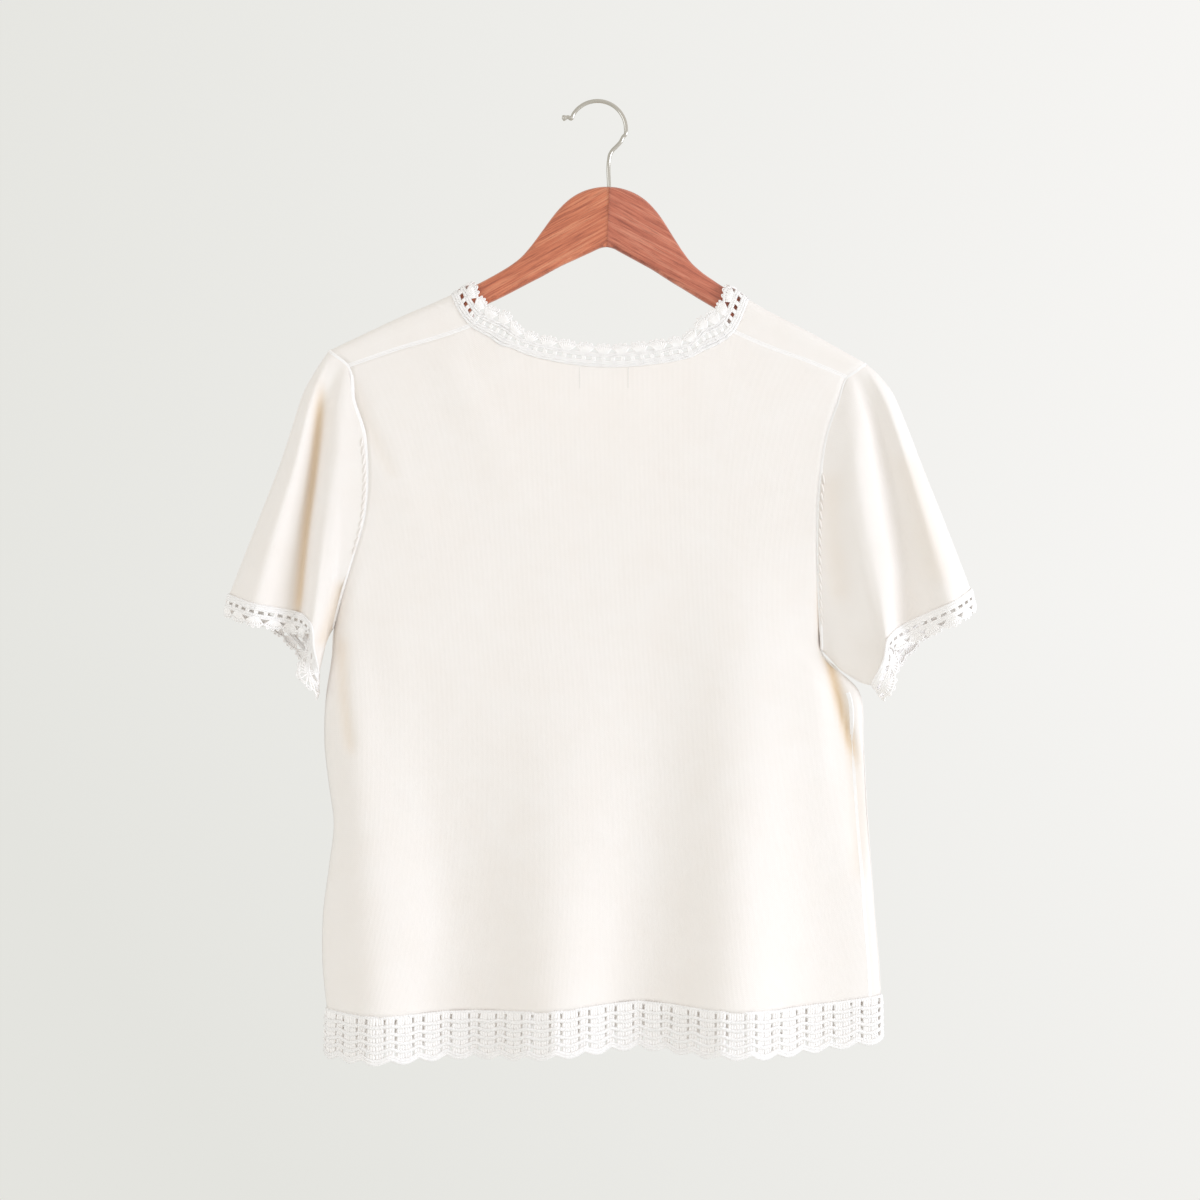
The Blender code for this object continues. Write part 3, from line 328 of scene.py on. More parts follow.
# %% Places on the cloth
def cloth_at(x, down):
    """Outer face of the cloth at x, at a distance down the front (or, below zero, down the back)."""
    x, down = np.broadcast_arrays(np.asarray(x, float), np.asarray(down, float))
    height, turn = fold_height(x)
    side = np.where(down < 0, -1, 1)
    angle = np.clip(np.abs(down) / QUARTER, 0.0, 1.0) * math.pi / 2
    y = TURN_HALF * np.sin(angle) ** (2 / TURN_POWER)
    z = height - turn + turn * np.cos(angle) ** (2 / TURN_POWER)
    straight = np.abs(down) > QUARTER
    z = np.where(straight, height - turn - (np.abs(down) - QUARTER), z)
    for hand in (-1, 1):
        on = straight & (side == hand)
        y = np.where(on, depth_at(hand, x, z), y)
    return np.stack([x, side * y, z], axis=-1)


def flat_at(side, x, z):
    """Outer face of a panel at x and z, below the hanger."""
    return np.stack([x, side * depth_at(side, x, z), z], axis=-1)


print("edges:", {side: [len(line) for line in lines] for side, lines in EDGES.items()}, "rows")

# %% [markdown]
# ## Grids of points
# A knitted panel is a grid by nature: wales run up it and courses across it. The coarse grid follows
# the seams, and `refine` reads a smooth surface through it wherever more points are wanted.

# %% Columns across the panels
SCALLOPS = 21             # on each panel
THIRDS = 3 * SCALLOPS
# Columns of both panels, in thirds of a scallop: close together at the sides, where the cloth turns round.
SIDE_THIRDS = (0, 1, 2, 3, 5, 7)
COLUMNS = SIDE_THIRDS + tuple(range(9, THIRDS - 8, 3)) + tuple(THIRDS - n for n in reversed(SIDE_THIRDS))
STRAP = COLUMNS.index(12)  # the shoulder seam takes the columns up to this one, and the neck the rest
LAST = len(COLUMNS) - 1
SIDE_REACH = 0.32         # part of a panel's width over which its columns follow its side edge
SIDE_HOLD = 1.5           # how soon they leave it
LAG = 0.15                # part of the height over which the columns still stand as they do at the hem
CUT_POINTS, NECK_POINTS = 1200, 400   # points on a line whose length is measured
print(LAST + 1, "columns, of which", STRAP + 1, "on each strap")

# %% Necklines and hem
# Necklines between the shoulder straps, left to right, as (x, z).
BACK_NECK_ROWS = (
    (-81.0, -191.5),
    (-63.0, -200.5),
    (-42.0, -206.5),
    (-16.0, -211.0),
    (8.0, -212.5),
    (38.0, -210.5),
    (72.0, -204.0),
    (92.0, -194.0),
)
FRONT_NECK_ROWS = (
    (-116.0, -200.0),
    (-110.0, -225.0),
    (-95.0, -248.0),
    (-72.0, -266.0),
    (-40.0, -278.0),
    (0.0, -282.0),
    (40.0, -279.0),
    (72.0, -268.0),
    (95.0, -251.0),
    (109.0, -229.0),
    (115.0, -206.0),
)
# Height of the hem seam along the panels.
HEM_COLUMNS = ("x", "z")
HEM_ROWS = (
    (-218.5, -726.0),
    (-150.0, -726.5),
    (-90.0, -725.0),
    (-30.0, -721.0),
    (30.0, -717.5),
    (80.0, -720.5),
    (140.0, -723.0),
    (185.0, -720.0),
    (225.0, -715.5),
)
print("necklines of", len(BACK_NECK_ROWS), "and", len(FRONT_NECK_ROWS), "points")

# %% Columns of a panel
def hem_height(x):
    """Height of the hem seam at x."""
    return np.interp(x, *(column(HEM_ROWS, HEM_COLUMNS, name) for name in HEM_COLUMNS))


def panel_columns(side):
    """Places of the columns across a panel's hem, 0 to 1, in equal steps of cloth."""
    span = np.sin(np.linspace(-math.pi / 2, math.pi / 2, CUT_POINTS)) / 2 + 0.5
    left, right = EDGES[side][0][0], EDGES[side][1][0]
    x = left[0] + (right[0] - left[0]) * span
    z = hem_height(x)
    cloth = lengths(flat_at(side, x, z))
    thirds = np.array(COLUMNS) / THIRDS
    return np.interp(thirds * cloth[-1], cloth, span)


def equal_steps(line, count):
    """Count points at equal distances along a polyline, its ends among them."""
    gone = lengths(line)
    steps = np.linspace(0.0, gone[-1], count)
    return np.stack([np.interp(steps, gone, line[:, n]) for n in range(line.shape[1])], axis=1)


def strap_parts():
    """Places of the strap's columns from its outer edge to its inner one, and the other way for the right."""
    by_cloth = np.array(COLUMNS[:STRAP + 1], float) / COLUMNS[STRAP]
    part = (by_cloth + np.linspace(0.0, 1.0, STRAP + 1)) / 2
    return part, 1.0 - part[::-1]


def strap_row(over):
    """The (x, down) of both straps' columns on one row over the hanger, left and right."""
    arm_down, neck_down, left_arm, left_neck, right_neck, right_arm = over
    left, right = strap_parts()
    return ((left_arm + (left_neck - left_arm) * left, arm_down + (neck_down - arm_down) * left),
            (right_neck + (right_arm - right_neck) * right, neck_down + (arm_down - neck_down) * right))


def top_line(side):
    """A panel's top row as (x, z): shoulder, neck, shoulder, with one point for each column."""
    left, right = strap_row(OVER_ROWS[-1] if side < 0 else OVER_ROWS[0])
    left_z, right_z = hanging_height(*left), hanging_height(*right)
    left, right = left[0], right[0]
    neck = np.array([(left[-1], left_z[-1])] + list(BACK_NECK_ROWS if side < 0 else FRONT_NECK_ROWS)
                    + [(right[0], right_z[0])])
    gone = lengths(neck)
    neck = equal_steps(through(np.linspace(0.0, gone[-1], NECK_POINTS), gone, neck), LAST - 2 * STRAP + 1)
    x = np.concatenate([left[:-1], neck[:, 0], right[1:]])
    z = np.concatenate([left_z[:-1], neck[:, 1], right_z[1:]])
    return x, z


# %% Grids of the panels
def panel(side):
    """A panel's grid of outer points, hem first, as far as the row where the front turns over the hanger."""
    left, right = EDGES[side]
    low = panel_columns(side)
    top_x, top_z = top_line(side)
    rows, under = len(left), len(SIDE_ROWS) - 1
    top_part = (top_x - top_x[0]) / (top_x[-1] - top_x[0])
    hem_x = left[0, 0] + (right[0, 0] - left[0, 0]) * low
    hem_off = hem_height(hem_x) - (left[0, 1] + (right[0, 1] - left[0, 1]) * low)
    top_off = top_z - (left[-1, 1] + (right[-1, 1] - left[-1, 1]) * top_part)
    grid = np.zeros((rows, LAST + 1, 3))
    for row in range(rows):
        rise = smooth(row / (rows - 1) * (1.0 + LAG) - LAG)
        x = hem_x + (top_x - hem_x) * rise
        part = low + (top_part - low) * rise
        for line, edge, near in ((left, 0, part), (right, -1, 1.0 - part)):
            x = x + (line[row, 0] - x[edge]) * np.clip(1.0 - near / SIDE_REACH, 0.0, 1.0) ** SIDE_HOLD
        z = left[row, 1] + (right[row, 1] - left[row, 1]) * part
        z += hem_off * max(1 - row / under, 0) + top_off * max(row - under, 0) / (rows - 1 - under)
        grid[row] = flat_at(side, x, z)
        grid[row, 0] = left[row, 0], side * left[row, 2], left[row, 1]
        grid[row, -1] = right[row, 0], side * right[row, 2], right[row, 1]
    return grid


def strap_rows(turning_row):
    """The front's rows over the hanger: only the straps' columns are used, at both ends of each row."""
    rows = []
    for over in OVER_ROWS[1:]:
        left, right = strap_row(over)
        row = turning_row.copy()
        row[:STRAP + 1] = cloth_at(*left)
        row[LAST - STRAP:] = cloth_at(*right)
        rows.append(row)
    return np.array(rows)


# %% [markdown]
# ## The sleeves' form
# A set-in sleeve is a tube that is sewn to the armhole. Hung up, it falls nearly flat, with a valley
# between its crown and a lobe that rolls over the armhole. It could be sculpted or simulated, but its
# edge has to meet the armhole point by point, so each sleeve is four sections of eight named points.

# %% Sections of the sleeves
# From the armhole to the cuff seam: the section's place, and the points round the sleeve called outer, crown,
# valley, rim, lobe, underarm, front_low and front_high, each as (x, y, z).
LEFT_SLEEVE = (
    (0.22, (-236.0, 0, -231.0), (-229.0, -13, -238.0), (-218.0, -8, -246.0), (-210.5, -14, -252.0),
     (-204.0, -15, -345.0), (-217.5, 0, -429.0), (-208.0, 13, -350.0), (-222.0, 15, -262.0)),
    (0.48, (-254.0, 0, -285.0), (-242.0, -19, -295.0), (-229.0, -7, -305.0), (-221.0, -16, -311.0),
     (-212.5, -17, -384.0), (-221.0, 0, -441.0), (-213.5, 15, -385.0), (-236.0, 19, -310.0)),
    (0.75, (-276.0, 0, -342.0), (-259.0, -23, -353.0), (-237.0, -7, -363.0), (-228.0, -18, -368.0),
     (-219.5, -17, -415.0), (-223.5, 0, -452.0), (-220.5, 16, -416.0), (-248.0, 21, -362.0)),
    (1.0, (-297.0, 0, -396.0), (-272.0, -25, -404.0), (-242.5, -7, -410.0), (-233.0, -18, -414.0),
     (-226.5, -17, -440.0), (-225.5, 0, -463.0), (-230.0, 17, -442.0), (-262.0, 22, -408.0)),
)
RIGHT_SLEEVE = (
    (0.22, (233.0, 0, -232.0), (226.0, -13, -240.0), (216.0, -8, -250.0), (207.0, -15, -258.0),
     (192.0, -16, -354.0), (188.5, 0, -450.0), (200.0, 13, -356.0), (219.0, 15, -268.0)),
    (0.48, (257.0, 0, -290.0), (246.0, -19, -300.0), (230.5, -8, -312.0), (218.5, -17, -320.0),
     (204.0, -18, -390.0), (199.5, 0, -459.0), (208.0, 15, -392.0), (236.0, 19, -318.0)),
    (0.75, (279.0, 0, -345.0), (263.0, -23, -356.0), (240.0, -8, -369.0), (228.5, -18, -376.0),
     (214.0, -18, -424.0), (209.5, 0, -465.0), (218.0, 16, -424.0), (249.0, 21, -370.0)),
    (1.0, (297.0, 0, -392.0), (277.0, -25, -403.0), (242.5, -8, -420.0), (232.0, -19, -426.0),
     (225.0, -18, -448.0), (218.0, 0, -467.5), (229.0, 17, -448.0), (262.0, 22, -412.0)),
)
print("sleeves:", len(LEFT_SLEEVE), "sections each")

# %% Grids of the sleeves
RING = 21                 # points round the armhole: 5 over the back of the arm, 7 down, 5 up, 4 over
SLEEVE_PLACES = (0.0, 2.0, 4.0, 5.0, 8.5, 12.0, 14.5, 18.0)   # of the sleeve sections' points on that ring
SLEEVE_ROWS = 8


def armhole_ring(back, front, col):
    """The armhole seam's points from the fold over the arm, down the back and up the front."""
    under = len(SIDE_ROWS) - 1
    fold = next(n for n, row in enumerate(OVER_ROWS) if row[0] == 0.0)
    turning = len(EDGES[1][0]) - 1
    over = front[turning:, col]
    return np.vstack([over[fold:], back[-2:under - 1:-1, col], front[under + 1:turning, col], over[:fold]])


def sleeve_ring(row):
    """One section of a sleeve: its named points, joined by a smooth closed curve."""
    points, places = np.array(row[1:], float), np.array(SLEEVE_PLACES)
    wide = np.vstack([points[-2:], points, points[:2]])
    places = np.concatenate([places[-2:] - RING, places, places[:2] + RING])
    return through(np.arange(RING), places, wide)


def sleeve(armhole, rows):
    """A sleeve's grid of outer points, rings from the armhole to the cuff seam."""
    rings = np.array([armhole] + [sleeve_ring(row) for row in rows])
    knots = [0.0] + [row[0] for row in rows]
    return through(np.linspace(0.0, 1.0, SLEEVE_ROWS + 1), knots, rings)


def neck_loop(back, front, turning):
    """The neck seam's vertices as (x, down), all round from the left shoulder seam over to the front."""
    left = [(row[3], row[1]) for row in reversed(OVER_ROWS)]
    right = [(row[4], row[1]) for row in OVER_ROWS]

    def below(points, sign):
        height, turn = fold_height(points[:, 0])
        return list(zip(points[:, 0], sign * (height - turn - points[:, 2] + QUARTER)))

    front_part = below(front[turning, STRAP + 1:LAST - STRAP], 1)
    back_part = below(back[-1, STRAP + 1:LAST - STRAP][::-1], -1)
    return np.array(left + front_part + right + back_part)


# %% All grids
back, front = panel(-1), panel(1)
turning = len(front) - 1
front = np.concatenate([front, strap_rows(front[turning])])
sleeves = {hand: sleeve(armhole_ring(back, front, col), rows)
           for hand, col, rows in (("left", 0, LEFT_SLEEVE), ("right", -1, RIGHT_SLEEVE))}
print("coarse grids:", back.shape, front.shape, sleeves["left"].shape)

# %% Finer grids
KNIT_STEP = 4.0           # distance between the fine grid's points
EVEN_PASSES, HELD_COLUMNS = 80, 12    # how often its columns are evened out, and how many keep their place


def steps(first, last, step=KNIT_STEP):
    """Places from first to last, about one step apart."""
    return np.linspace(first, last, max(int(round((last - first) / step)), 1) + 1)


def refine(grid, row_at, col_at, columns, level=False):
    """A smooth surface through a grid of points, read at places along its left edge and its columns."""
    rows = through(row_at, lengths(grid[:, 0]), grid)
    return through(col_at, columns, rows.transpose(1, 0, 2), level).transpose(1, 0, 2)


def fine_panel(side, grid, row_at, passes=0):
    """A panel's fine grid, with the depth that its folds have at each place."""
    fine = refine(grid, row_at, steps(0, THIRDS, 0.5), COLUMNS, level=True)
    inner = fine[:, HELD_COLUMNS:-HELD_COLUMNS]
    for _ in range(passes):  # spreads the columns that crowd together below the neckline's corners
        inner[1:-1, 1:-1] = (inner[:-2, 1:-1] + inner[2:, 1:-1] + inner[1:-1, :-2] + inner[1:-1, 2:]) / 4
    place = np.arange(fine.shape[1])
    inside = smooth((np.minimum(place, place[::-1]) - HELD_COLUMNS / 3) / HELD_COLUMNS)
    fine[..., 1] += inside * (side * depth_at(side, fine[..., 0], fine[..., 2]) - fine[..., 1])
    return fine


def closed_grid(ring_rows, extra=3):
    """A tube's grid with a few of its columns repeated on both sides, and their places."""
    wide = np.concatenate([ring_rows[:, -extra:], ring_rows, ring_rows[:, :extra + 1]], axis=1)
    return wide, np.arange(-extra, ring_rows.shape[1] + extra + 1)


def surface_normals(grid, outward):
    """Normals of a grid of points, on the side that outward gives."""
    return unit(np.cross(np.gradient(grid, axis=1), np.gradient(grid, axis=0))) * outward


# %% [markdown]
# ## One way to make every mesh
# All pieces here are strips of quads: cloth, yarn, wood and wire. Numpy fills a mesh far faster than
# adding faces one by one, and UVs in millimetres let a pattern's scale be set from its real size.

# %% Mesh helper
def quads(rows, cols, closed=False, flip=False):
    """Corner numbers of the quads between the rows and columns of a grid."""
    span = cols if closed else cols - 1
    row, col = np.meshgrid(np.arange(rows - 1), np.arange(span), indexing="ij")
    after = (col + 1) % cols
    here, above = row * cols, (row + 1) * cols
    corners = np.stack([here + col, here + after, above + after, above + col], -1).reshape(-1, 4)
    return corners[:, ::-1] if flip else corners


def make_mesh(name, parts, finish):
    """One object from parts of (points in mm, quads, UV of each quad's corners)."""
    points, faces, uvs, first = [], [], [], 0
    for part_points, part_faces, part_uv in parts:
        points.append(part_points.reshape(-1, 3))
        faces.append(part_faces + first)
        uvs.append(part_uv.reshape(-1, 2))
        first += len(points[-1])
    points, faces, uvs = np.concatenate(points) * MM, np.concatenate(faces), np.concatenate(uvs)
    mesh = bpy.data.meshes.new(name)
    mesh.vertices.add(len(points))
    mesh.vertices.foreach_set("co", points.ravel())
    mesh.loops.add(faces.size)
    mesh.loops.foreach_set("vertex_index", faces.ravel().astype(np.int32))
    mesh.polygons.add(len(faces))
    mesh.polygons.foreach_set("loop_start", np.arange(0, faces.size, 4, dtype=np.int32))
    layer = mesh.uv_layers.new(name="millimetres")
    layer.data.foreach_set("uv", uvs.ravel().astype(np.float32))
    mesh.update(calc_edges=True)
    mesh.validate()
    mesh.shade_smooth()
    mesh.materials.append(finish)
    piece = bpy.data.objects.new(name, mesh)
    bpy.context.scene.collection.objects.link(piece)
    return piece


def take_place(piece, slot, *nodes):
    """Lets a piece ride on the body, and stand for its CAD nodes, which it hides; slot is not used."""
    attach(piece, "root")
    if nodes:
        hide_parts(*nodes)
    print(piece.name, len(piece.data.polygons), "quads")
    return piece


# %% [markdown]
# ## Colours and nodes
# Colours are picked as sRGB hex, as a swatch gives them, and shaders work in linear light, so one
# function turns one into the other. Another adds a node with its settings and links.

# %% Material helpers
def linear(hexa):
    """An sRGB hex colour as linear RGBA."""
    parts = [int(hexa[i:i + 2], 16) / 255 for i in (1, 3, 5)]
    return (*[c / 12.92 if c <= 0.04045 else ((c + 0.055) / 1.055) ** 2.4 for c in parts], 1.0)


def node(tree, kind, settings=None, **inputs):
    """Adds a node, with its settings, and its inputs given as values or as outputs to link."""
    made = tree.nodes.new(kind)
    for key, value in (settings or {}).items():
        setattr(made, key, value)
    for key, value in inputs.items():
        name = key.replace("_", " ")
        socket = made.inputs[int(name[2:])] if name[2:].isdigit() else made.inputs[name]
        if isinstance(value, bpy.types.Node):
            value = value.outputs[0]
        if isinstance(value, bpy.types.NodeSocket):
            tree.links.new(value, socket)
        else:
            socket.default_value = value
    return made


def new_material(name):
    """An empty node material."""
    made = bpy.data.materials.new(name)
    made.use_nodes = True
    made.node_tree.nodes.clear()
    return made, made.node_tree


def plain_finish(name, colour, **settings):
    """A material of one colour, with the settings that the real surface has."""
    made, tree = new_material(name)
    shader = node(tree, "ShaderNodeBsdfPrincipled", Base_Color=linear(colour), **settings)
    node(tree, "ShaderNodeOutputMaterial", Surface=shader)
    return made


# %% [markdown]
# ## Fine cotton knit
# Stockinette is cotton yarn in rows of V-shaped loops. The eye gets a matt, slightly furry white with
# faint upright lines. The real wales are about 1.3 mm apart, too fine for a whole-garment picture, so
# they are drawn 2 mm apart and shallow. Loops as a mesh would need millions of triangles.

# %% Knit material
WALE = 2.0                # width of a column of loops, in mm
COURSE = 1.6              # height of a row of loops, in mm
LOOP_SLANT, LOOP_SHARE = 1.6, 0.22    # how steep a loop's legs are, and how much of the relief is theirs
MATH = "ShaderNodeMath"
KNIT_LIGHT, KNIT_SHADE = linear("#FBF6F1"), linear("#F8F1EA")
# This warm colour is also the crochet's faint painted glow.
COTTON_GLOW = linear("#F6E4D8")   # what comes through the cotton, warmer than its face
# Painted shade: the knit's colour turns to this warm, darker tone along deep creases.
PAINTED_CREASE_SHADE = linear("#E9CBA2")  # light that has gone back and forth in a deep crease


def with_glow(made, face):
    """A cotton material from the look of its face, with a little light coming through."""
    tree = made.node_tree
    glow = node(tree, "ShaderNodeBsdfTranslucent", Color=COTTON_GLOW)
    both = node(tree, "ShaderNodeMixShader", in0=0.12, in1=face, in2=glow)
    node(tree, "ShaderNodeOutputMaterial", Surface=both)
    return made


def knit_material():
    """Stockinette in off-white cotton, its loops as bump on UVs in mm."""
    made, tree = new_material("knitted_cotton_stockinette")
    place = node(tree, "ShaderNodeUVMap", {"uv_map": "millimetres"})
    split = node(tree, "ShaderNodeSeparateXYZ", in0=place)
    wale = node(tree, MATH, {"operation": "MULTIPLY"}, in0=split, in1=1 / WALE)
    course = node(tree, MATH, {"operation": "MULTIPLY"}, in0=split.outputs[1], in1=1 / COURSE)
    off = node(tree, MATH, {"operation": "PINGPONG"}, in0=wale, in1=0.5)
    slant = node(tree, MATH, {"operation": "MULTIPLY_ADD"}, in0=off, in1=LOOP_SLANT, in2=course)
    waves = []
    for part in (slant, off):
        turn = node(tree, MATH, {"operation": "MULTIPLY"}, in0=part, in1=2 * math.pi)
        waves.append(node(tree, MATH, {"operation": "SINE"}, in0=turn))
    height = node(tree, MATH, {"operation": "MULTIPLY_ADD"}, in0=waves[0], in1=LOOP_SHARE, in2=waves[1])
    where = node(tree, "ShaderNodeTexCoord").outputs["Object"]
    uneven = node(tree, "ShaderNodeTexNoise", Vector=where, Scale=38.0, Detail=3.0, Roughness=0.55)
    loops = node(tree, "ShaderNodeBump", Strength=0.32, Distance=0.00035, Height=height)
    soft = node(tree, "ShaderNodeBump", Strength=0.30, Distance=0.0016,
                Height=uneven, Normal=loops)
    tone = node(tree, "ShaderNodeMix", {"data_type": "RGBA"}, in6=KNIT_SHADE, in7=KNIT_LIGHT,
                in0=uneven)
    # Painted shade: a value kept on the points mixes the warm crease colour into the knit's colour.
    painted_crease_shade = node(tree, "ShaderNodeAttribute", {"attribute_name": "painted_crease_shade"}).outputs["Fac"]
    warmed = node(tree, "ShaderNodeMix", {"data_type": "RGBA"}, in6=tone.outputs[2], in7=PAINTED_CREASE_SHADE,
                  in0=painted_crease_shade)
    shader = node(tree, "ShaderNodeBsdfPrincipled", Base_Color=warmed.outputs[2], Roughness=0.92,
                  Specular_IOR_Level=0.2, Sheen_Weight=0.25, Sheen_Roughness=0.5, Normal=soft)
    return with_glow(made, shader)


knit_finish = knit_material()
print("knit: wale", WALE, "mm, course", COURSE, "mm")

# %% [markdown]
# ## The knitted pieces
# Each cut piece is one thin sheet. The fine grid is given the knit's real thickness with a Solidify
# modifier, since that keeps the outer face where it is and shows a rim at the neck and cuffs.

# %% Knitted sheets
KNIT_THICKNESS = 0.9


def distances(points, axis):
    """Distance to each point of a grid from the first one of its row or column."""
    between = np.linalg.norm(np.diff(points, axis=axis), axis=2)
    return np.concatenate([np.zeros_like(between.take([0], axis)), np.cumsum(between, axis=axis)], axis)


def cloth_part(grid, outward, closed=False):
    """A grid's points, quads and UVs: the distances from its middle column and from its first row."""
    rows, cols = grid.shape[:2]
    looped = np.concatenate([grid, grid[:, :1]], axis=1) if closed else grid
    u = distances(looped, 1)
    uv = np.stack([u - u[:, [looped.shape[1] // 2]], distances(looped, 0)], -1)
    faces = quads(rows, cols, closed)
    row, col = np.meshgrid(np.arange(rows - 1), np.arange(looped.shape[1] - 1), indexing="ij")
    corner = np.stack([uv[row, col], uv[row, col + 1], uv[row + 1, col + 1], uv[row + 1, col]], 2)
    corner = corner.reshape(-1, 4, 2)
    if outward < 0:
        faces, corner = faces[:, ::-1], corner[:, ::-1]
    return grid, faces, corner


def knit_sheet(name, parts, creases=None):
    """A piece of knit from its parts, with the knit's thickness behind its outer face, and any painted crease
    shade kept on its points.
    """
    piece = make_mesh(name, parts, knit_finish)
    if creases is not None:
        # Painted shade of the creases, kept on the points for the knit's material.
        painted_shade = piece.data.attributes.new("painted_crease_shade", "FLOAT", "POINT")
        painted_shade.data.foreach_set("value", np.clip(creases, 0.0, 1.0).ravel().astype(np.float32))
    shell = piece.modifiers.new("thickness", "SOLIDIFY")
    shell.thickness = KNIT_THICKNESS * MM
    shell.offset = -1.0
    return take_place(piece, "knit_cotton", name)


# %% [markdown]
# ## Narrow creases
# Where a sleeve or a side rolls over, the cloth is pressed into a crease of a few millimetres, and the
# light in it turns warm. It could be sculpted by hand, but a line with a depth and a width is easier to
# match to a photograph, and its warm shade is painted, from a value kept on the points for the material.

# %% Creases
# Creases too narrow for the solids: the line each follows, its depth, half width and painted warm shade.
BACK_CREASES = (
    (((179.0, -385.0), (179.0, -410.0), (182.0, -440.0), (190.0, -475.0), (203.0, -525.0)), 3.0, 4.5, 0.85),
    (((203.0, -525.0), (206.0, -570.0), (206.0, -620.0)), 1.5, 7.0, 0.15),
    (((-203.0, -221.0), (-190.0, -250.0), (-165.0, -300.0)), 1.6, 6.0, 0.1),
    (((-206.0, -430.0), (-205.0, -460.0), (-198.0, -520.0)), 1.5, 5.0, 0.25),
)
# On the back of a sleeve, as (x, z) too.
LEFT_SLEEVE_CREASES = (
    (((-222.0, -236.0), (-228.0, -295.0), (-234.5, -345.0), (-241.0, -412.0)), 2.5, 3.6, 0.7),
    (((-206.0, -385.0), (-213.0, -410.0), (-221.0, -435.0)), 1.5, 4.5, 0.3),
)
RIGHT_SLEEVE_CREASES = (
    (((183.0, -300.0), (184.0, -345.0), (190.0, -400.0)), 1.0, 9.0, 0.12),
    (((246.0, -285.0), (258.0, -340.0), (270.0, -385.0)), 0.8, 12.0, 0.12),
)


def creased(grid, creases, on_back=True):
    """A fine grid with narrow creases pressed in, each fading out at its ends, and their painted warm shade.
    """
    grid, painted_shade = grid.copy(), np.zeros(grid.shape[:2])
    x, y, z = (grid[..., n] for n in range(3))
    facing = (y < 0.0) if on_back else np.ones(y.shape, bool)
    for line, depth, half, shade_strength in creases:
        line_x, line_z = (np.array([place[n] for place in line[::-1]]) for n in range(2))
        middle = through(z.ravel(), line_z, line_x).reshape(z.shape)
        down = (line_z[-1] - z) / (line_z[-1] - line_z[0])
        fade = smooth((down + 0.1) * 5.0) * smooth((1.1 - down) * 5.0) * facing
        press = fade * np.exp(-((x - middle) / half) ** 2)
        grid[..., 1] += depth * press
        painted_shade += shade_strength * press
    # The depth is pressed into the cloth; the warm shade along the crease is painted.
    return grid, painted_shade


# %% Back and front sheets
back_fine = fine_panel(-1, back, steps(0, lengths(back[:, 0])[-1]))
back_fine, back_painted_shade = creased(back_fine, BACK_CREASES)
front_edge = lengths(front[:, 0])
front_fine = fine_panel(1, front[:turning + 1], steps(0, front_edge[turning]), EVEN_PASSES)
back_sheet = knit_sheet("back", [cloth_part(back_fine, 1)], back_painted_shade)
front_parts = [cloth_part(front_fine, -1)]
over_places = steps(front_edge[turning], front_edge[-1], 2.0)
for strap in (slice(0, STRAP + 1), slice(LAST - STRAP, LAST + 1)):
    places = COLUMNS[strap]
    rows = through(over_places, front_edge, front[:, strap])
    strap_fine = through(steps(places[0], places[-1], 0.5), places, rows.transpose(1, 0, 2))
    front_parts.append(cloth_part(strap_fine.transpose(1, 0, 2), -1))
front_sheet = knit_sheet("front", front_parts)

# %% Sleeves
AROUND = steps(0, RING, 1 / 6)[:-1]
for hand, grid in sleeves.items():
    wide, places = closed_grid(grid)
    down_the_sleeve = steps(0, lengths(wide[:, 0])[-1])
    fine = refine(wide, down_the_sleeve, AROUND, places)
    outward = -1 if hand == "left" else 1
    fine, painted_shade = creased(fine, LEFT_SLEEVE_CREASES if hand == "left" else RIGHT_SLEEVE_CREASES)
    knit_sheet(f"sleeve_{hand}", [cloth_part(fine, outward, closed=True)], painted_shade)

# %% [markdown]
# ## Yarn
# Crochet is yarn pulled through its own loops, and at this distance it shows as chains, upright posts
# and holes. Curves with a bevel could draw it, but thousands of them are slow, so short paths on the
# cloth's surface are swept into tubes in one numpy step. A chain is two strands that wind round each
# other.

# %% Tubes along paths
YARN_SIDES = 5


def tubes(points, normals, radius, sides=YARN_SIDES):
    """Tubes along paths of equal length in points: paths x points x 3, with a direction across each."""
    tangent = unit(np.gradient(points, axis=1))
    across = unit(np.cross(tangent, normals))
    out = np.cross(across, tangent)
    radius = np.broadcast_to(radius, points.shape[:2])[..., None]
    paths, count = points.shape[:2]
    rings = []
    for number in range(sides):
        turn = 2 * math.pi * number / sides
        rings.append(points + radius * (math.cos(turn) * out + math.sin(turn) * across))
    ring_points = np.stack(rings, 2)
    faces = quads(count, sides, closed=True)
    every = (faces[None] + (np.arange(paths) * count * sides)[:, None, None]).reshape(-1, 4)
    gone = distances(points, 1)
    row, side = np.meshgrid(np.arange(count - 1), np.arange(sides), indexing="ij")
    u = np.stack([gone[:, row], gone[:, row], gone[:, row + 1], gone[:, row + 1]], -1)
    v = np.stack([side, side + 1, side + 1, side], -1) / sides
    uv = np.stack([u, np.broadcast_to(v, u.shape)], -1).reshape(-1, 4, 2)
    return ring_points, every, uv


def on_surface(surface, s, w, h, radius, sides=YARN_SIDES):
    """Tubes whose paths are given on a surface: along it, across it and off it, in mm."""
    s, w, h = np.broadcast_arrays(np.atleast_2d(s), w, h)
    points, normals = surface(s, w)
    return tubes(points + normals * h[..., None], normals, radius, sides)


def chain(surface, first, last, w, lift, radius=0.75, spread=0.7, pitch=3.0, step=0.8, wave=None):
    """A crochet chain along an edge, as two strands that wind round each other."""
    s = steps(first, last, step)
    parts = []
    for strand in (0.0, math.pi):
        turn = 2 * math.pi * s / pitch + strand
        across = w + spread * np.cos(turn) + (wave(s) if wave else 0.0)
        parts.append(on_surface(surface, s, across, lift + 0.6 * spread * np.sin(turn), radius))
    return parts


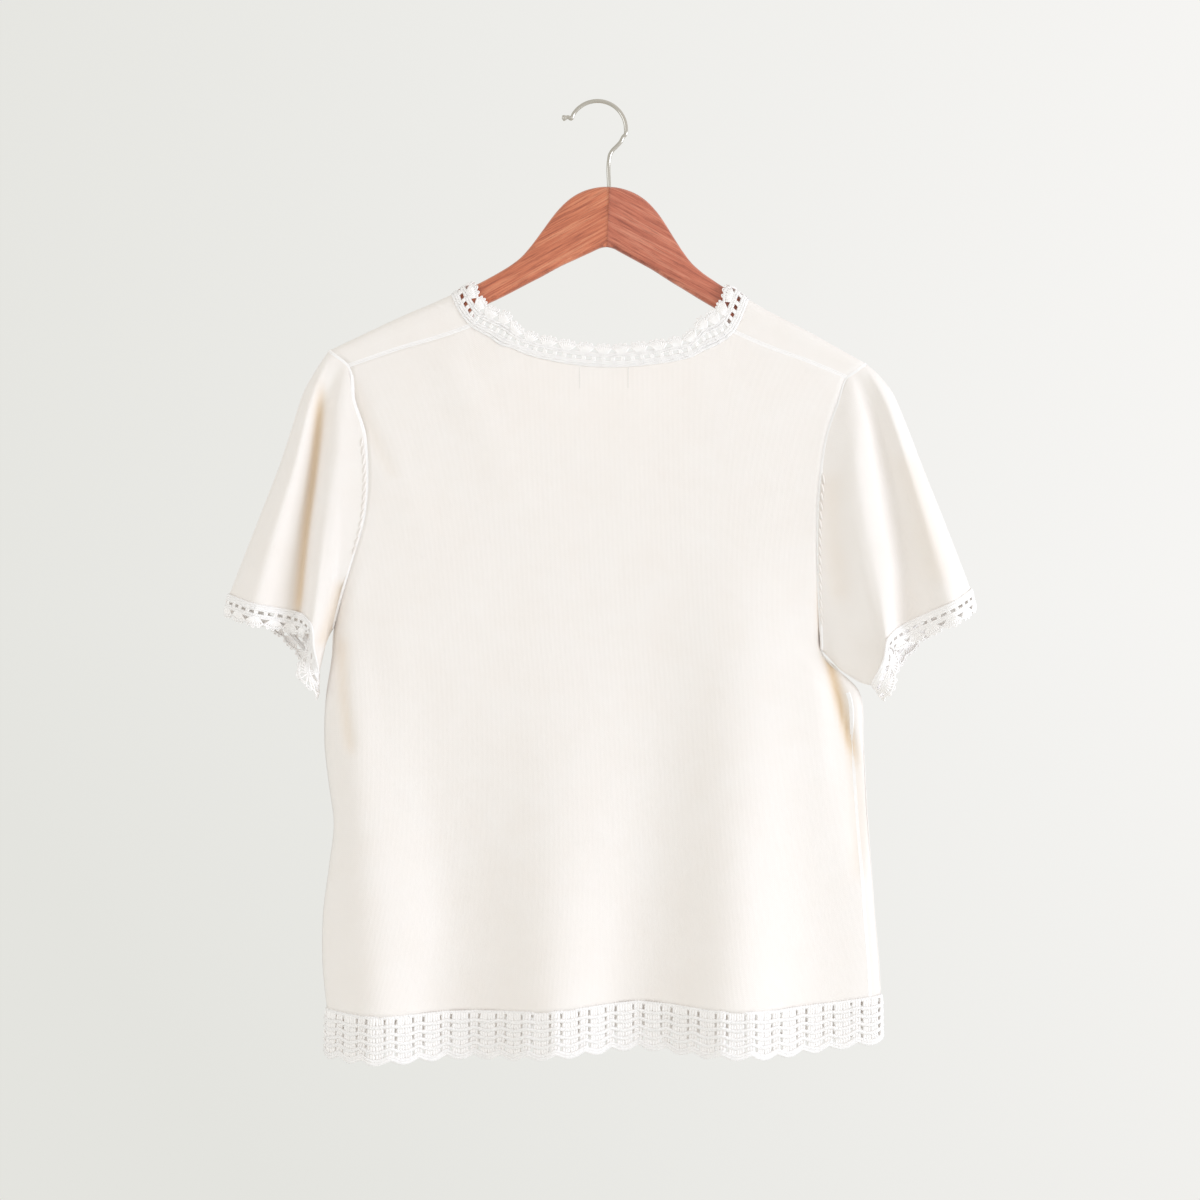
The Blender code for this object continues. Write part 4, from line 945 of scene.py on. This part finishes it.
def strands(surface, starts, ends, lift, radius=0.8, bulge=0.5, count=4, taper=0.75):
    """Short strands between pairs of places (s, w) on a surface, bulging off it in the middle."""
    part = np.linspace(0.0, 1.0, count)
    starts, ends = np.asarray(starts, float), np.asarray(ends, float)
    place = starts[:, None] + (ends - starts)[:, None] * part[None, :, None]
    arch = np.sin(part * math.pi)
    return on_surface(surface, place[..., 0], place[..., 1], lift + bulge * arch,
                      radius * (taper + (1 - taper) * arch))


# %% [markdown]
# ## Crochet cotton
# The edgings are a thicker cotton yarn of several plies, brighter than the knit since its loops stand
# in the light, and a faint painted glow adds to that. The plies are a slanted bump round each strand, and
# a little translucency warms the shade between them.

# %% Crochet material
PLY = 1.3                 # length of one turn of the plies, in mm


def crochet_material():
    """Plied off-white cotton, its twist as bump on the strand's own UVs."""
    made, tree = new_material("plied_cotton_crochet")
    place = node(tree, "ShaderNodeUVMap", {"uv_map": "millimetres"})
    split = node(tree, "ShaderNodeSeparateXYZ", in0=place)
    turn = node(tree, MATH, {"operation": "MULTIPLY_ADD"}, in0=split, in1=1 / PLY, in2=split.outputs[1])
    plies = node(tree, MATH, {"operation": "PINGPONG"}, in0=turn, in1=0.5)
    bump = node(tree, "ShaderNodeBump", Strength=0.3, Distance=0.0003, Height=plies)
    # The faint emission is a painted glow: it stands in for light that loose yarn passes on from strand to
    # strand, as these tubes can't.
    shader = node(tree, "ShaderNodeBsdfPrincipled", Base_Color=linear("#FEFCFA"), Roughness=0.88,
                  Specular_IOR_Level=0.25, Sheen_Weight=0.5, Sheen_Roughness=0.5, Normal=bump,
                  Emission_Color=COTTON_GLOW, Emission_Strength=0.04)
    return with_glow(made, shader)


crochet_finish = crochet_material()
print("yarn: a turn of the plies every", PLY, "mm")

# %% [markdown]
# ## An edging
# The neck and the cuffs have the same edging: a dense band of chains on the seam, a row of short posts
# with an eyelet between each pair, two more chains, and fans of strands with three picots on each. It is
# written once, on any surface that is given as places along and across it.

# %% The edging's stitches
EYELET_PITCH = 8.0        # from a post to the next, about
FOUNDATION = ((-0.9, -0.1), (0.8, 0.3), (2.2, 0.3))   # the dense band's chains: place and lift
POST_AT, POST_OFF = (2.6, 6.2), 1.15   # a post's ends, and how far apart its strands are
CHAINS_AT = (6.6, 8.2)
FAN_END, FAN_STRANDS = 14.4, 8
FAN_FOOT, FAN_SPREAD = 2.2, 0.45       # half of a fan's foot in mm, and half of its end in fans
SCALLOP_DROP, SCALLOP_POWER = 1.9, 2.5
PICOTS, PICOT_RADIUS = (-0.62, 0.0, 0.62), 1.25
print("an edging reaches about", FAN_END + 1.0, "mm from its seam")


def notch(part):
    """How much lower than its middle a fan's edge is, from 0 in its middle to 1 at the notch."""
    return SCALLOP_DROP * np.abs(part) ** SCALLOP_POWER


def edging(surface, first, last):
    """The stitches of an edging between two places along a seam."""
    count = 2 * max(int(round((last - first) / EYELET_PITCH / 2)), 1)
    pitch = (last - first) / count
    parts = []
    for at, lift in FOUNDATION:
        parts += chain(surface, first, last, at, lift, radius=0.9)
    for at in CHAINS_AT:
        parts += chain(surface, first, last, at, 0.5, radius=0.8)
    posts = first + pitch * np.arange(count)
    for off in (-POST_OFF, 0.0, POST_OFF):
        starts = np.column_stack([posts + off, np.full(count, POST_AT[0])])
        ends = np.column_stack([posts + 0.9 * off, np.full(count, POST_AT[1])])
        parts.append(strands(surface, starts, ends, 0.35, radius=0.75))
    fans, half = first + 2 * pitch * (np.arange(count // 2) + 0.5), FAN_SPREAD * 2 * pitch
    for turn in np.linspace(-1.0, 1.0, FAN_STRANDS):
        starts = np.column_stack([fans + FAN_FOOT * turn, np.full(len(fans), CHAINS_AT[-1])])
        ends = np.column_stack([fans + half * turn, np.full(len(fans), FAN_END - 1.6 * turn**2)])
        parts.append(strands(surface, starts, ends, 0.5, radius=0.95, bulge=0.7))
    parts += chain(surface, first, last, FAN_END + 0.2, 0.5, radius=0.7, spread=0.6,
                   wave=lambda s: -notch(2 * (((s - first) / (2 * pitch)) % 1.0) - 1.0))
    turn = np.linspace(0.0, 2 * math.pi, 9)
    for at in PICOTS:
        ring_s = (fans + at * half)[:, None] + PICOT_RADIUS * np.cos(turn)
        ring_w = FAN_END + 1.0 - notch(at) + 0.9 * PICOT_RADIUS * np.sin(turn)
        parts.append(on_surface(surface, ring_s, np.broadcast_to(ring_w, ring_s.shape), 0.4, 0.62))
    return parts


def closed_curve(points):
    """A smooth closed curve through points: a function of the distance along it, its length and knots."""
    knots = lengths(np.vstack([points, points[:1]]))
    total = knots[-1]
    wide = np.concatenate([knots[-4:-1] - total, knots, knots[1:4] + total])

    def read(values, s):
        values = np.concatenate([values[-3:], values, values[:4]])
        return through(np.mod(s, total), wide, values)
    return read, total, knots


# %% Neck edging
STAND_OFF = 0.7           # the edging's free side stands this far off the hanger's arm
loop = neck_loop(back, front, turning)
read_loop, neck_length, neck_knots = closed_curve(loop)
loop_tangent = unit(np.roll(loop, -1, axis=0) - np.roll(loop, 1, axis=0))
loop_inward = np.column_stack([loop_tangent[:, 1], -loop_tangent[:, 0]])
if np.sum(loop_inward * (loop.mean(axis=0) - loop)) < 0:
    loop_inward = -loop_inward


def neck_surface(s, w):
    """Places on the neck edging and its normals, along the seam and in from it."""
    shape = np.shape(s)
    s, w = np.ravel(s), np.ravel(np.broadcast_to(w, shape))
    x, down = (read_loop(loop, s) + unit(read_loop(loop_inward, s)) * w[:, None]).T
    here = cloth_at(x, down)
    normal = unit(np.cross(cloth_at(x + 0.5, down) - here, cloth_at(x, down + 0.5) - here))
    here += normal * (STAND_OFF * smooth(w / 8.0))[:, None]
    return here.reshape(*shape, 3), normal.reshape(*shape, 3)


strap_length, between = len(OVER_ROWS), LAST - 2 * STRAP
front_end = neck_knots[2 * strap_length + between - 2]
neck_back = make_mesh("neck_edging_back", edging(neck_surface, front_end, neck_length), crochet_finish)
take_place(neck_back, "crochet_cotton", "neck_trim_back")
neck_front = make_mesh("neck_edging_front", edging(neck_surface, 0.0, front_end), crochet_finish)
take_place(neck_front, "crochet_cotton", "neck_trim_front")

# %% Cuff edgings
TUCK = 1.6                # how strongly the cuff turns in behind the sleeve's lobe
TUCK_PLACES = (4, 12)     # the cuff turns in between these places on the ring


def cuff_surface(grid, outward):
    """The surface below a sleeve's last ring, as a function of places along and across it."""
    base = grid[-1]
    wide, _ = closed_grid(grid)
    normals = surface_normals(wide, outward)[-1, 3:-4]
    places = np.arange(RING)
    first, last = TUCK_PLACES
    turned_in = np.sin((np.clip(places, first, last) - first) / (last - first) * math.pi)[:, None]
    out = unit(grid[-1] - grid[-3]) + np.array([0.0, 0.0, -1.0]) + turned_in * np.array([0.0, TUCK, 0.0])
    tangent = unit(np.roll(base, -1, axis=0) - np.roll(base, 1, axis=0))
    out = unit(out - tangent * np.sum(out * tangent, axis=1, keepdims=True).reshape(-1, 1))
    read, total, _ = closed_curve(base)

    def surface(s, w):
        shape = np.shape(s)
        flat_s, flat_w = np.ravel(s), np.ravel(np.broadcast_to(w, shape))
        place = read(base, flat_s) + unit(read(out, flat_s)) * flat_w[:, None]
        return place.reshape(*shape, 3), unit(read(normals, flat_s)).reshape(*shape, 3)
    return surface, total


cuffs = {}
for hand, grid in sleeves.items():
    surface, total = cuff_surface(grid, -1 if hand == "left" else 1)
    cuffs[hand] = make_mesh(f"cuff_edging_{hand}", edging(surface, 0.0, total), crochet_finish)
    take_place(cuffs[hand], "crochet_cotton", f"cuff_{hand}_back", f"cuff_{hand}_front")

# %% [markdown]
# ## The hem band
# Five rows of shells hang below the panels. In each scallop a pair of holes stands on both sides of
# the notch, and the chains between the rows sag like smiles, more so further down.

# %% Hem band
BAND_HEIGHT = 32.5        # at the notches between the scallops
BAND_ROWS = 5
SCALLOP_DEPTH = 4.0       # how much lower the scallops reach
BAND_FLARE = 0.02         # how far the band stands out, as a part of its drop
SHELL_RISE = 1.1          # relief of the band's rows of shells
ROW_PITCH, FIRST_CHAIN = 5.9, 0.2
POST_PLACES = (-0.1, 0.0, 0.1, 0.285, 0.37, 0.457, 0.543, 0.63, 0.715)
HEM_YARN = 1.35
print("hem band", BAND_HEIGHT + SCALLOP_DEPTH, "mm high with", 2 * SCALLOPS, "scallops")


def hem_surface_of(low_ring, turned, first):
    """The band's surface, counted in scallops along it and in mm down it."""
    knots = np.arange(-6, len(low_ring) + 7) / 3.0
    wrap = np.arange(-6, len(low_ring) + 7) % len(low_ring)
    flare = turned * np.array([1.0, 1.0, 0.0])

    def surface(q, w):
        shape = np.shape(q)
        flat_q, flat_w = np.ravel(q) + first, np.ravel(np.broadcast_to(w, shape))
        seam = through(flat_q, knots, low_ring[wrap])
        out = through(flat_q, knots, flare[wrap])
        place = seam + out * (BAND_FLARE * flat_w)[:, None] - np.array([0.0, 0.0, 1.0]) * flat_w[:, None]
        return place.reshape(*shape, 3), unit(out).reshape(*shape, 3)
    return surface


def ripple(q, row):
    """How far the row's chain sags at each place, from nothing at the notches."""
    depth = SCALLOP_DEPTH * (row / BAND_ROWS) ** 0.6
    return depth * np.sin(math.pi * (np.asarray(q) % 1.0)) ** 1.2


hem_places = np.interp(np.arange(THIRDS + 1), COLUMNS, np.arange(LAST + 1))
hem_seams, hem_normals = [], []
for grid, outward, order in ((back, 1, 1), (front[:turning + 1], -1, -1)):
    hem_seams.append(along(grid[0], hem_places)[::order][:-1])
    hem_normals.append(along(surface_normals(grid, outward)[0], hem_places)[::order][:-1])
hem_seam, hem_turned = np.concatenate(hem_seams), unit(np.concatenate(hem_normals))


# %% The band's stitches
def hem_chain(surface, row, w, radius, step=1 / 26):
    """One chain of the band as two winding strands, over all of its scallops."""
    q = steps(0.0, SCALLOPS, step)
    parts = []
    for strand in (0.0, math.pi):
        turn = 2 * math.pi * q * 8 + strand
        down = w + ripple(q, row) + 0.7 * np.cos(turn)
        lift = SHELL_RISE if row else -0.2
        parts.append(on_surface(surface, q, down, lift + 0.3 * np.sin(turn), radius))
    return parts


def hem_half(surface):
    """The stitches of the band on one panel."""
    parts = []
    for row in range(BAND_ROWS + 1):
        parts += hem_chain(surface, row, FIRST_CHAIN + ROW_PITCH * row, 1.25)
    parts += hem_chain(surface, BAND_ROWS, BAND_HEIGHT - 0.6, 1.2)
    scallop = np.arange(SCALLOPS)
    for row in range(BAND_ROWS):
        for place in POST_PLACES:
            q = scallop + place
            lean = 0.02 if place > 0.5 else -0.02
            top = FIRST_CHAIN + ROW_PITCH * row + ripple(q, row)
            low = FIRST_CHAIN + ROW_PITCH * (row + 1) + ripple(q + lean, row + 1)
            parts.append(strands(surface, np.column_stack([q, top]), np.column_stack([q + lean, low]),
                                 0.0, radius=HEM_YARN, bulge=0.3, taper=0.95))
    return parts


# %% Both halves of the band
hem_bands = {}
for side, first in (("back", 0.0), ("front", float(SCALLOPS))):
    surface = hem_surface_of(hem_seam, hem_turned, first)
    hem_bands[side] = make_mesh(f"hem_band_{side}", hem_half(surface), crochet_finish)
    take_place(hem_bands[side], "crochet_cotton", "hem_band")

# %% [markdown]
# ## Seams
# The pieces of a fully fashioned top are linked loop by loop, which leaves a thin raised line. Where the
# knitting was narrowed, a row of small slanted marks runs along the armhole. Both could be pressed into
# a denser sheet; here they are slim strands that lie partly in the cloth, which needs far fewer points.

# %% Seam lines
SEAM_YARN, SEAM_HALF = 1.05, 1.1  # radius of a strand, and its distance from the middle one
SEAM_DEEP = 0.75          # how far its middle lies in the cloth
SIDE_SEAM_AT = 61.5       # place of the side seam on the back, in thirds of a scallop


def edge_seam(line, normals, apart=SEAM_HALF):
    """A linked seam along a line of points."""
    gone = lengths(line)
    places = steps(0.0, gone[-1], 2.5)
    points, out = through(places, gone, line), unit(through(places, gone, normals))
    side = unit(np.cross(np.gradient(points, axis=0), out))
    return [tubes((points + side * off - out * SEAM_DEEP)[None], out[None], SEAM_YARN)
            for off in (-apart, 0.0, apart)]


back_normals = surface_normals(back_fine, 1)
seam_parts = []
for strap in (slice(0, STRAP + 1), slice(LAST - STRAP, LAST + 1)):
    line = back[-1, strap]
    seam_parts += edge_seam(line, surface_normals(back, 1)[-1, strap])
side_column = int(round(SIDE_SEAM_AT * 2))
below_arm = back_fine[:, side_column, 2] < SIDE_ROWS[-3][3]
seam_parts += edge_seam(back_fine[below_arm, side_column], back_normals[below_arm, side_column], 0.9)
for hand, grid in sleeves.items():
    wide, _ = closed_grid(grid)
    normals = surface_normals(wide, -1 if hand == "left" else 1)[0, 3:-3]
    ring = np.vstack([grid[0], grid[0, :1]])
    seam_parts += edge_seam(ring, normals, 0.7)
# The seams take the crochet's finish, whose faint painted glow keeps their steep sides from shading dark.
seams = make_mesh("linked_seams", seam_parts, crochet_finish)
take_place(seams, "knit_cotton")

# %% Fashioning marks and thread
# Marks along an armhole: their first and last place on its ring, their number, and how they slant.
MARKS = {"left": (7.1, 9.6, 13, 0.03), "right": (7.8, 11.0, 17, 0.03)}
MARK_REACH = (4.0, 10.0)  # from the seam to a mark's start and end
MARK_RADIUS, MARK_LIFT = 1.1, 0.1
BARS = (-16.0, 22.5)      # two short upright rows of stitches below the back neck
BAR_TOP, BAR_LOW = -214.5, -229.0
STITCH, THREAD = 2.4, 0.25   # from a stitch to the next, and the thread's radius


def fashioning_marks(grid, first, last, count, slant):
    """Short slanted ridges on a sleeve beside its armhole seam."""
    wide, ring_places = closed_grid(grid)
    at = np.linspace(first, last, count)
    reach = np.linspace(*MARK_REACH, 5)
    points, beside, further = (np.stack([
        refine(wide, np.array([down + off_down]), at + slant * n + off_at, ring_places)[0]
        for n, down in enumerate(reach)], axis=1) for off_down, off_at in ((0, 0), (0, 0.05), (1.0, 0)))
    out = unit(np.cross(beside - points, further - points))
    out *= np.where(out[..., 1:2] > 0, -1.0, 1.0)
    radius = MARK_RADIUS * np.sin(np.linspace(0.15, 0.9, len(reach)) * math.pi)
    return tubes(points + out * MARK_LIFT, out, np.tile(radius, (count, 1)))


marks = make_mesh("fashioning_marks", [fashioning_marks(sleeves[hand], *row) for hand, row in MARKS.items()],
                  knit_finish)
take_place(marks, "knit_cotton")
thread = plain_finish("greyish_sewing_thread", "#E6E1DB", Roughness=0.8)
stitch_tops = np.arange(BAR_TOP, BAR_LOW, -STITCH)
stitch_z = stitch_tops[:, None] - np.linspace(0.0, 0.8 * STITCH, 3)
stitches = [flat_at(-1, np.full_like(stitch_z, x), stitch_z) for x in BARS]
facing_back = np.broadcast_to([0.0, -1.0, 0.0], stitches[0].shape)
bars = make_mesh("stitch_bars", [tubes(paths, facing_back, THREAD) for paths in stitches], thread)
take_place(bars, "knit_cotton")

# %% [markdown]
# ## The hanger's arms
# Two boards of reddish hardwood, such as merbau or stained beech, are mitred and glued at the middle,
# shaped and varnished. The solids' arms have few facets, so a finer loft through the same sections
# takes their place. The grain runs along each arm, which shows the mitre.

# %% Sections of an arm
ARM_ROUND = 5.0           # radius of an arm's edges
ARM_FLAT = 0.3            # half of the flat left between those edges, at least
ARM_FACETS = 28
ARM_TAPER = 0.64          # how much of the thickness's square is gone at the end


def arm_section(out, top, bottom, side):
    """A rounded section of the arm at a distance from the mitre."""
    half, tall = ARM_HALF, (bottom - top) / 2
    if out > ARM_END - ARM_HALF:
        near_end = (out - ARM_END + ARM_HALF) / ARM_HALF
        half *= math.sqrt(max(1.0 - ARM_TAPER * near_end**2, 0.0))
    corner = min(ARM_ROUND, half - ARM_FLAT)
    angle = 2 * math.pi * (np.arange(ARM_FACETS) + 0.5) / ARM_FACETS
    y = np.sign(np.sin(angle)) * (half - corner) + corner * np.sin(angle)
    drop = (top + bottom) / 2 - np.sign(np.cos(angle)) * (tall - corner) - corner * np.cos(angle)
    x, z = hanger_point(out, drop, side)
    return np.column_stack([x, y, z])


# %% Hardwood
GRAIN_BANDS = (0.014, 0.36)        # waves of its bands in a mm, along the grain and across it
GRAIN_FIBRES = (0.055, 1.5)        # the same for its fibres and pores
WOOD_TONES = {"left": ("#AC5C40", "#CA7350", "#D88C68"), "right": ("#A65842", "#C26D52", "#D1856A")}


def hardwood(side):
    """Varnished reddish hardwood, its grain along the arm."""
    made, tree = new_material(f"varnished_reddish_hardwood_{side}")
    place = node(tree, "ShaderNodeUVMap", {"uv_map": "millimetres"})
    long_grain = node(tree, "ShaderNodeMapping", Vector=place, Scale=(*GRAIN_BANDS, 1.0))
    fibres = node(tree, "ShaderNodeMapping", Vector=place, Scale=(*GRAIN_FIBRES, 1.0))
    bands = node(tree, "ShaderNodeTexNoise", Vector=long_grain, Scale=1.0, Detail=5.0, Roughness=0.6,
                 Distortion=0.25)
    fine = node(tree, "ShaderNodeTexNoise", Vector=fibres, Scale=1.0, Detail=4.0, Roughness=0.7)
    ramp = node(tree, "ShaderNodeValToRGB", in0=bands)
    ramp.color_ramp.elements[0].position, ramp.color_ramp.elements[1].position = 0.34, 0.66
    dark, middle, light = (linear(tone) for tone in WOOD_TONES[side])
    ramp.color_ramp.elements[0].color, ramp.color_ramp.elements[1].color = dark, light
    ramp.color_ramp.elements.new(0.5).color = middle
    pores = node(tree, "ShaderNodeValToRGB", in0=fine)
    pores.color_ramp.elements[0].position, pores.color_ramp.elements[1].position = 0.36, 0.52
    pores.color_ramp.elements[0].color = linear("#7E4632")
    pores.color_ramp.elements[1].color = linear("#FFFFFF")
    tone = node(tree, "ShaderNodeMix", {"data_type": "RGBA", "blend_type": "MULTIPLY"}, in0=0.5,
                in6=ramp, in7=pores)
    bump = node(tree, "ShaderNodeBump", Strength=0.25, Distance=0.0002, Height=fine)
    shader = node(tree, "ShaderNodeBsdfPrincipled", Base_Color=tone.outputs[2], Roughness=0.34,
                  IOR=1.5, Coat_Weight=0.35, Coat_Roughness=0.18, Normal=bump)
    node(tree, "ShaderNodeOutputMaterial", Surface=shader)
    return made


# %% Arms
END_HOLE = 0.02           # the last ring at both ends, as a part of the section
GRAIN_APART = 400.0       # so that the two boards' grain comes from different wood
GRAIN_SLOPE = math.radians(29.0)   # each board's grain is straight, and falls away from the middle
out, top, bottom = (column(ARM_ROWS, ARM_COLUMNS, name) for name in ARM_COLUMNS)
rounding = 1 - np.sin(np.linspace(0.15, 1.0, 6) * math.pi / 2)
arm_out = np.concatenate([steps(0.0, ARM_END - ARM_HALF, 3.0), ARM_END - ARM_HALF * rounding])
for hand, side in (("left", -1), ("right", 1)):
    arm_top, arm_bottom = through(arm_out, out, top), through(arm_out, out, bottom)
    rings = np.array([arm_section(*row, side) for row in zip(arm_out, arm_top, arm_bottom)])
    tips = [middle + END_HOLE * (rings[[end]] - middle) for end in (0, -1)
            for middle in [rings[end].mean(axis=0)]]
    # The mitre's ring is there twice, so that its edge stays sharp in smooth shading.
    rings = np.concatenate([tips[0], rings[:1], rings, tips[1]])
    faces = quads(len(rings), ARM_FACETS, closed=True, flip=side > 0)
    out_from, up_from = side * (rings[..., 0] - MITRE_X), rings[..., 2] - MITRE_TOP
    u = out_from * math.cos(GRAIN_SLOPE) - up_from * math.sin(GRAIN_SLOPE) + (side + 2) * GRAIN_APART
    v = out_from * math.sin(GRAIN_SLOPE) + up_from * math.cos(GRAIN_SLOPE) + 0.6 * rings[..., 1]
    uv = np.stack([u, v], -1).reshape(-1, 2)[faces]
    arm = make_mesh(f"arm_{hand}", [(rings, faces, uv)], hardwood(hand))
    take_place(arm, "hanger_wood", f"hanger_arm_{hand}")

# %% [markdown]
# ## The hook
# Steel wire, bent round and plated with bright nickel or chrome. It is a swept tube along the same
# line as the solid's, with more sides so that its reflections run smooth.

# %% The wire's line
WIRE, WIRE_END = 1.6, 0.05   # radius of the hook's wire, and of its closed ends
WIRE_SIDES = 16
STEM_DEPTH = 24.0         # how far the hook's stem goes down into the mitre
HOOK_MIDDLE_X, HOOK_REACH = -2.0, 22.8   # the bend's centre and radius, to the wire's outside
HOOK_TURN = (158.0, -10.0, 17)           # its first and last angle in degrees, and its points

# Its line before and after the bend: x, z and how thick it is there.
TIP_ROWS = (
    (-30.6, -14.0, 0.45),
    (-30.2, -13.9, 1.1),
    (-29.2, -13.7, 1.45),
    (-28.0, -13.4, 1.35),
    (-27.0, -13.2, 1.0),
    (-25.4, -12.9, 1.0),
)
NECK_OF_HOOK_ROWS = (
    (18.8, -28.5, 1.0),
    (16.6, -32.6, 1.0),
    (13.4, -36.2, 1.0),
    (10.2, -39.4, 1.0),
    (8.0, -43.0, 1.0),
    (MITRE_X, -47.5, 1.0),
    (MITRE_X, MITRE_TOP, 1.0),
    (MITRE_X, MITRE_TOP - STEM_DEPTH, 1.0),
)
print("wire:", 2 * WIRE, "mm thick")

# %% Hook
bright_nickel = plain_finish("bright_nickel_plated_steel", "#C4BFB6", Metallic=1.0, Roughness=0.16)
turn = np.radians(np.linspace(*HOOK_TURN))
bend = zip(HOOK_MIDDLE_X + HOOK_REACH * np.cos(turn), HOOK_REACH * (np.sin(turn) - 1.0), np.ones(len(turn)))
route = np.array(list(TIP_ROWS) + list(bend) + list(NECK_OF_HOOK_ROWS))
gone = lengths(route[:, :2])
places = steps(0.0, gone[-1], 1.0)
fine_route = through(places, gone, route)
path = np.column_stack([fine_route[:, 0], np.zeros(len(places)), fine_route[:, 1]])
facing = np.tile([0.0, -1.0, 0.0], (len(path), 1))
thick = fine_route[:, 2] * WIRE
thick[[0, -1]] = WIRE_END
hook = make_mesh("hook", [tubes(path[None], facing[None], thick[None], sides=WIRE_SIDES)], bright_nickel)
take_place(hook, "hook_metal", "hanger_hook")

# %% [markdown]


# %% [markdown]
# ## The studio
# The photograph is bright and soft: a window-like light from the right and front, a pale room, and
# hardly a shadow. A ready-made sky could light it, but two large area lights and a pale world can be
# matched to the picture one by one. The floor is a pale disc far below.

# %% Floor, light and camera
FLOOR_AT, FLOOR_RADIUS = -1.78, 2.6
bpy.ops.mesh.primitive_circle_add(vertices=96, radius=FLOOR_RADIUS, fill_type="NGON",
                                  location=(0, 0, FLOOR_AT))
floor = bpy.context.object
floor.name = "floor"
floor.data.materials.append(plain_finish("pale_matt_paper", "#E4E4DF", Roughness=0.9))


def area_light(name, place, aim, size, power, colour):
    """A square soft light at a place, turned to another."""
    data = bpy.data.lights.new(name, "AREA")
    data.size, data.energy, data.color = size, power, linear(colour)[:3]
    lamp = bpy.data.objects.new(name, data)
    lamp.location = place
    direction = Vector(aim) - Vector(place)
    lamp.rotation_euler = direction.to_track_quat("-Z", "Y").to_euler()
    bpy.context.scene.collection.objects.link(lamp)
    return lamp


area_light("window", (2.7, -1.1, -0.35), (0.0, 0.0, -0.42), 1.4, 46.0, "#E6EFFF")
area_light("fill", (-2.5, -1.9, -0.3), (0.0, 0.0, -0.42), 2.0, 19.0, "#ECF3FF")

ROOM_COLOURS = ("#E4E4DF", "#F8F7F5")   # the wall far behind, from left to right
ROOM_HALF = 0.36          # sideways part of a direction at which the wall has those colours
ROOM_FALL = 0.7           # how much darker the wall gets towards the floor

world = bpy.data.worlds.new("pale room")
bpy.context.scene.world = world
world.use_nodes = True
walls = world.node_tree
looking = node(walls, "ShaderNodeTexCoord").outputs["Generated"]
ways = node(walls, "ShaderNodeSeparateXYZ", in0=looking)
below = node(walls, MATH, {"operation": "MINIMUM"}, in0=ways.outputs[2], in1=0.0)
towards = node(walls, MATH, {"operation": "MULTIPLY_ADD"}, in0=below, in1=ROOM_FALL, in2=ways)
across = node(walls, "ShaderNodeMapRange", in0=towards, in1=-ROOM_HALF, in2=ROOM_HALF)
room = node(walls, "ShaderNodeValToRGB", in0=across)
for stop, colour in zip(room.color_ramp.elements, ROOM_COLOURS):
    stop.color = linear(colour)
walls.links.new(room.outputs[0], walls.nodes["Background"].inputs["Color"])

CAMERA_BACK, CAMERA_HIGH = 1.6, -0.3992
view = bpy.data.cameras.new("camera")
view.lens, view.sensor_width = 60.0, 36.0
camera = bpy.data.objects.new("camera", view)
camera.location = (0.0, -CAMERA_BACK, CAMERA_HIGH)
camera.rotation_euler = (math.pi / 2, 0.0, 0.0)
bpy.context.scene.collection.objects.link(camera)
bpy.context.scene.camera = camera
bpy.context.scene.view_settings.view_transform = "Standard"
print("camera at", tuple(round(c, 3) for c in camera.location))
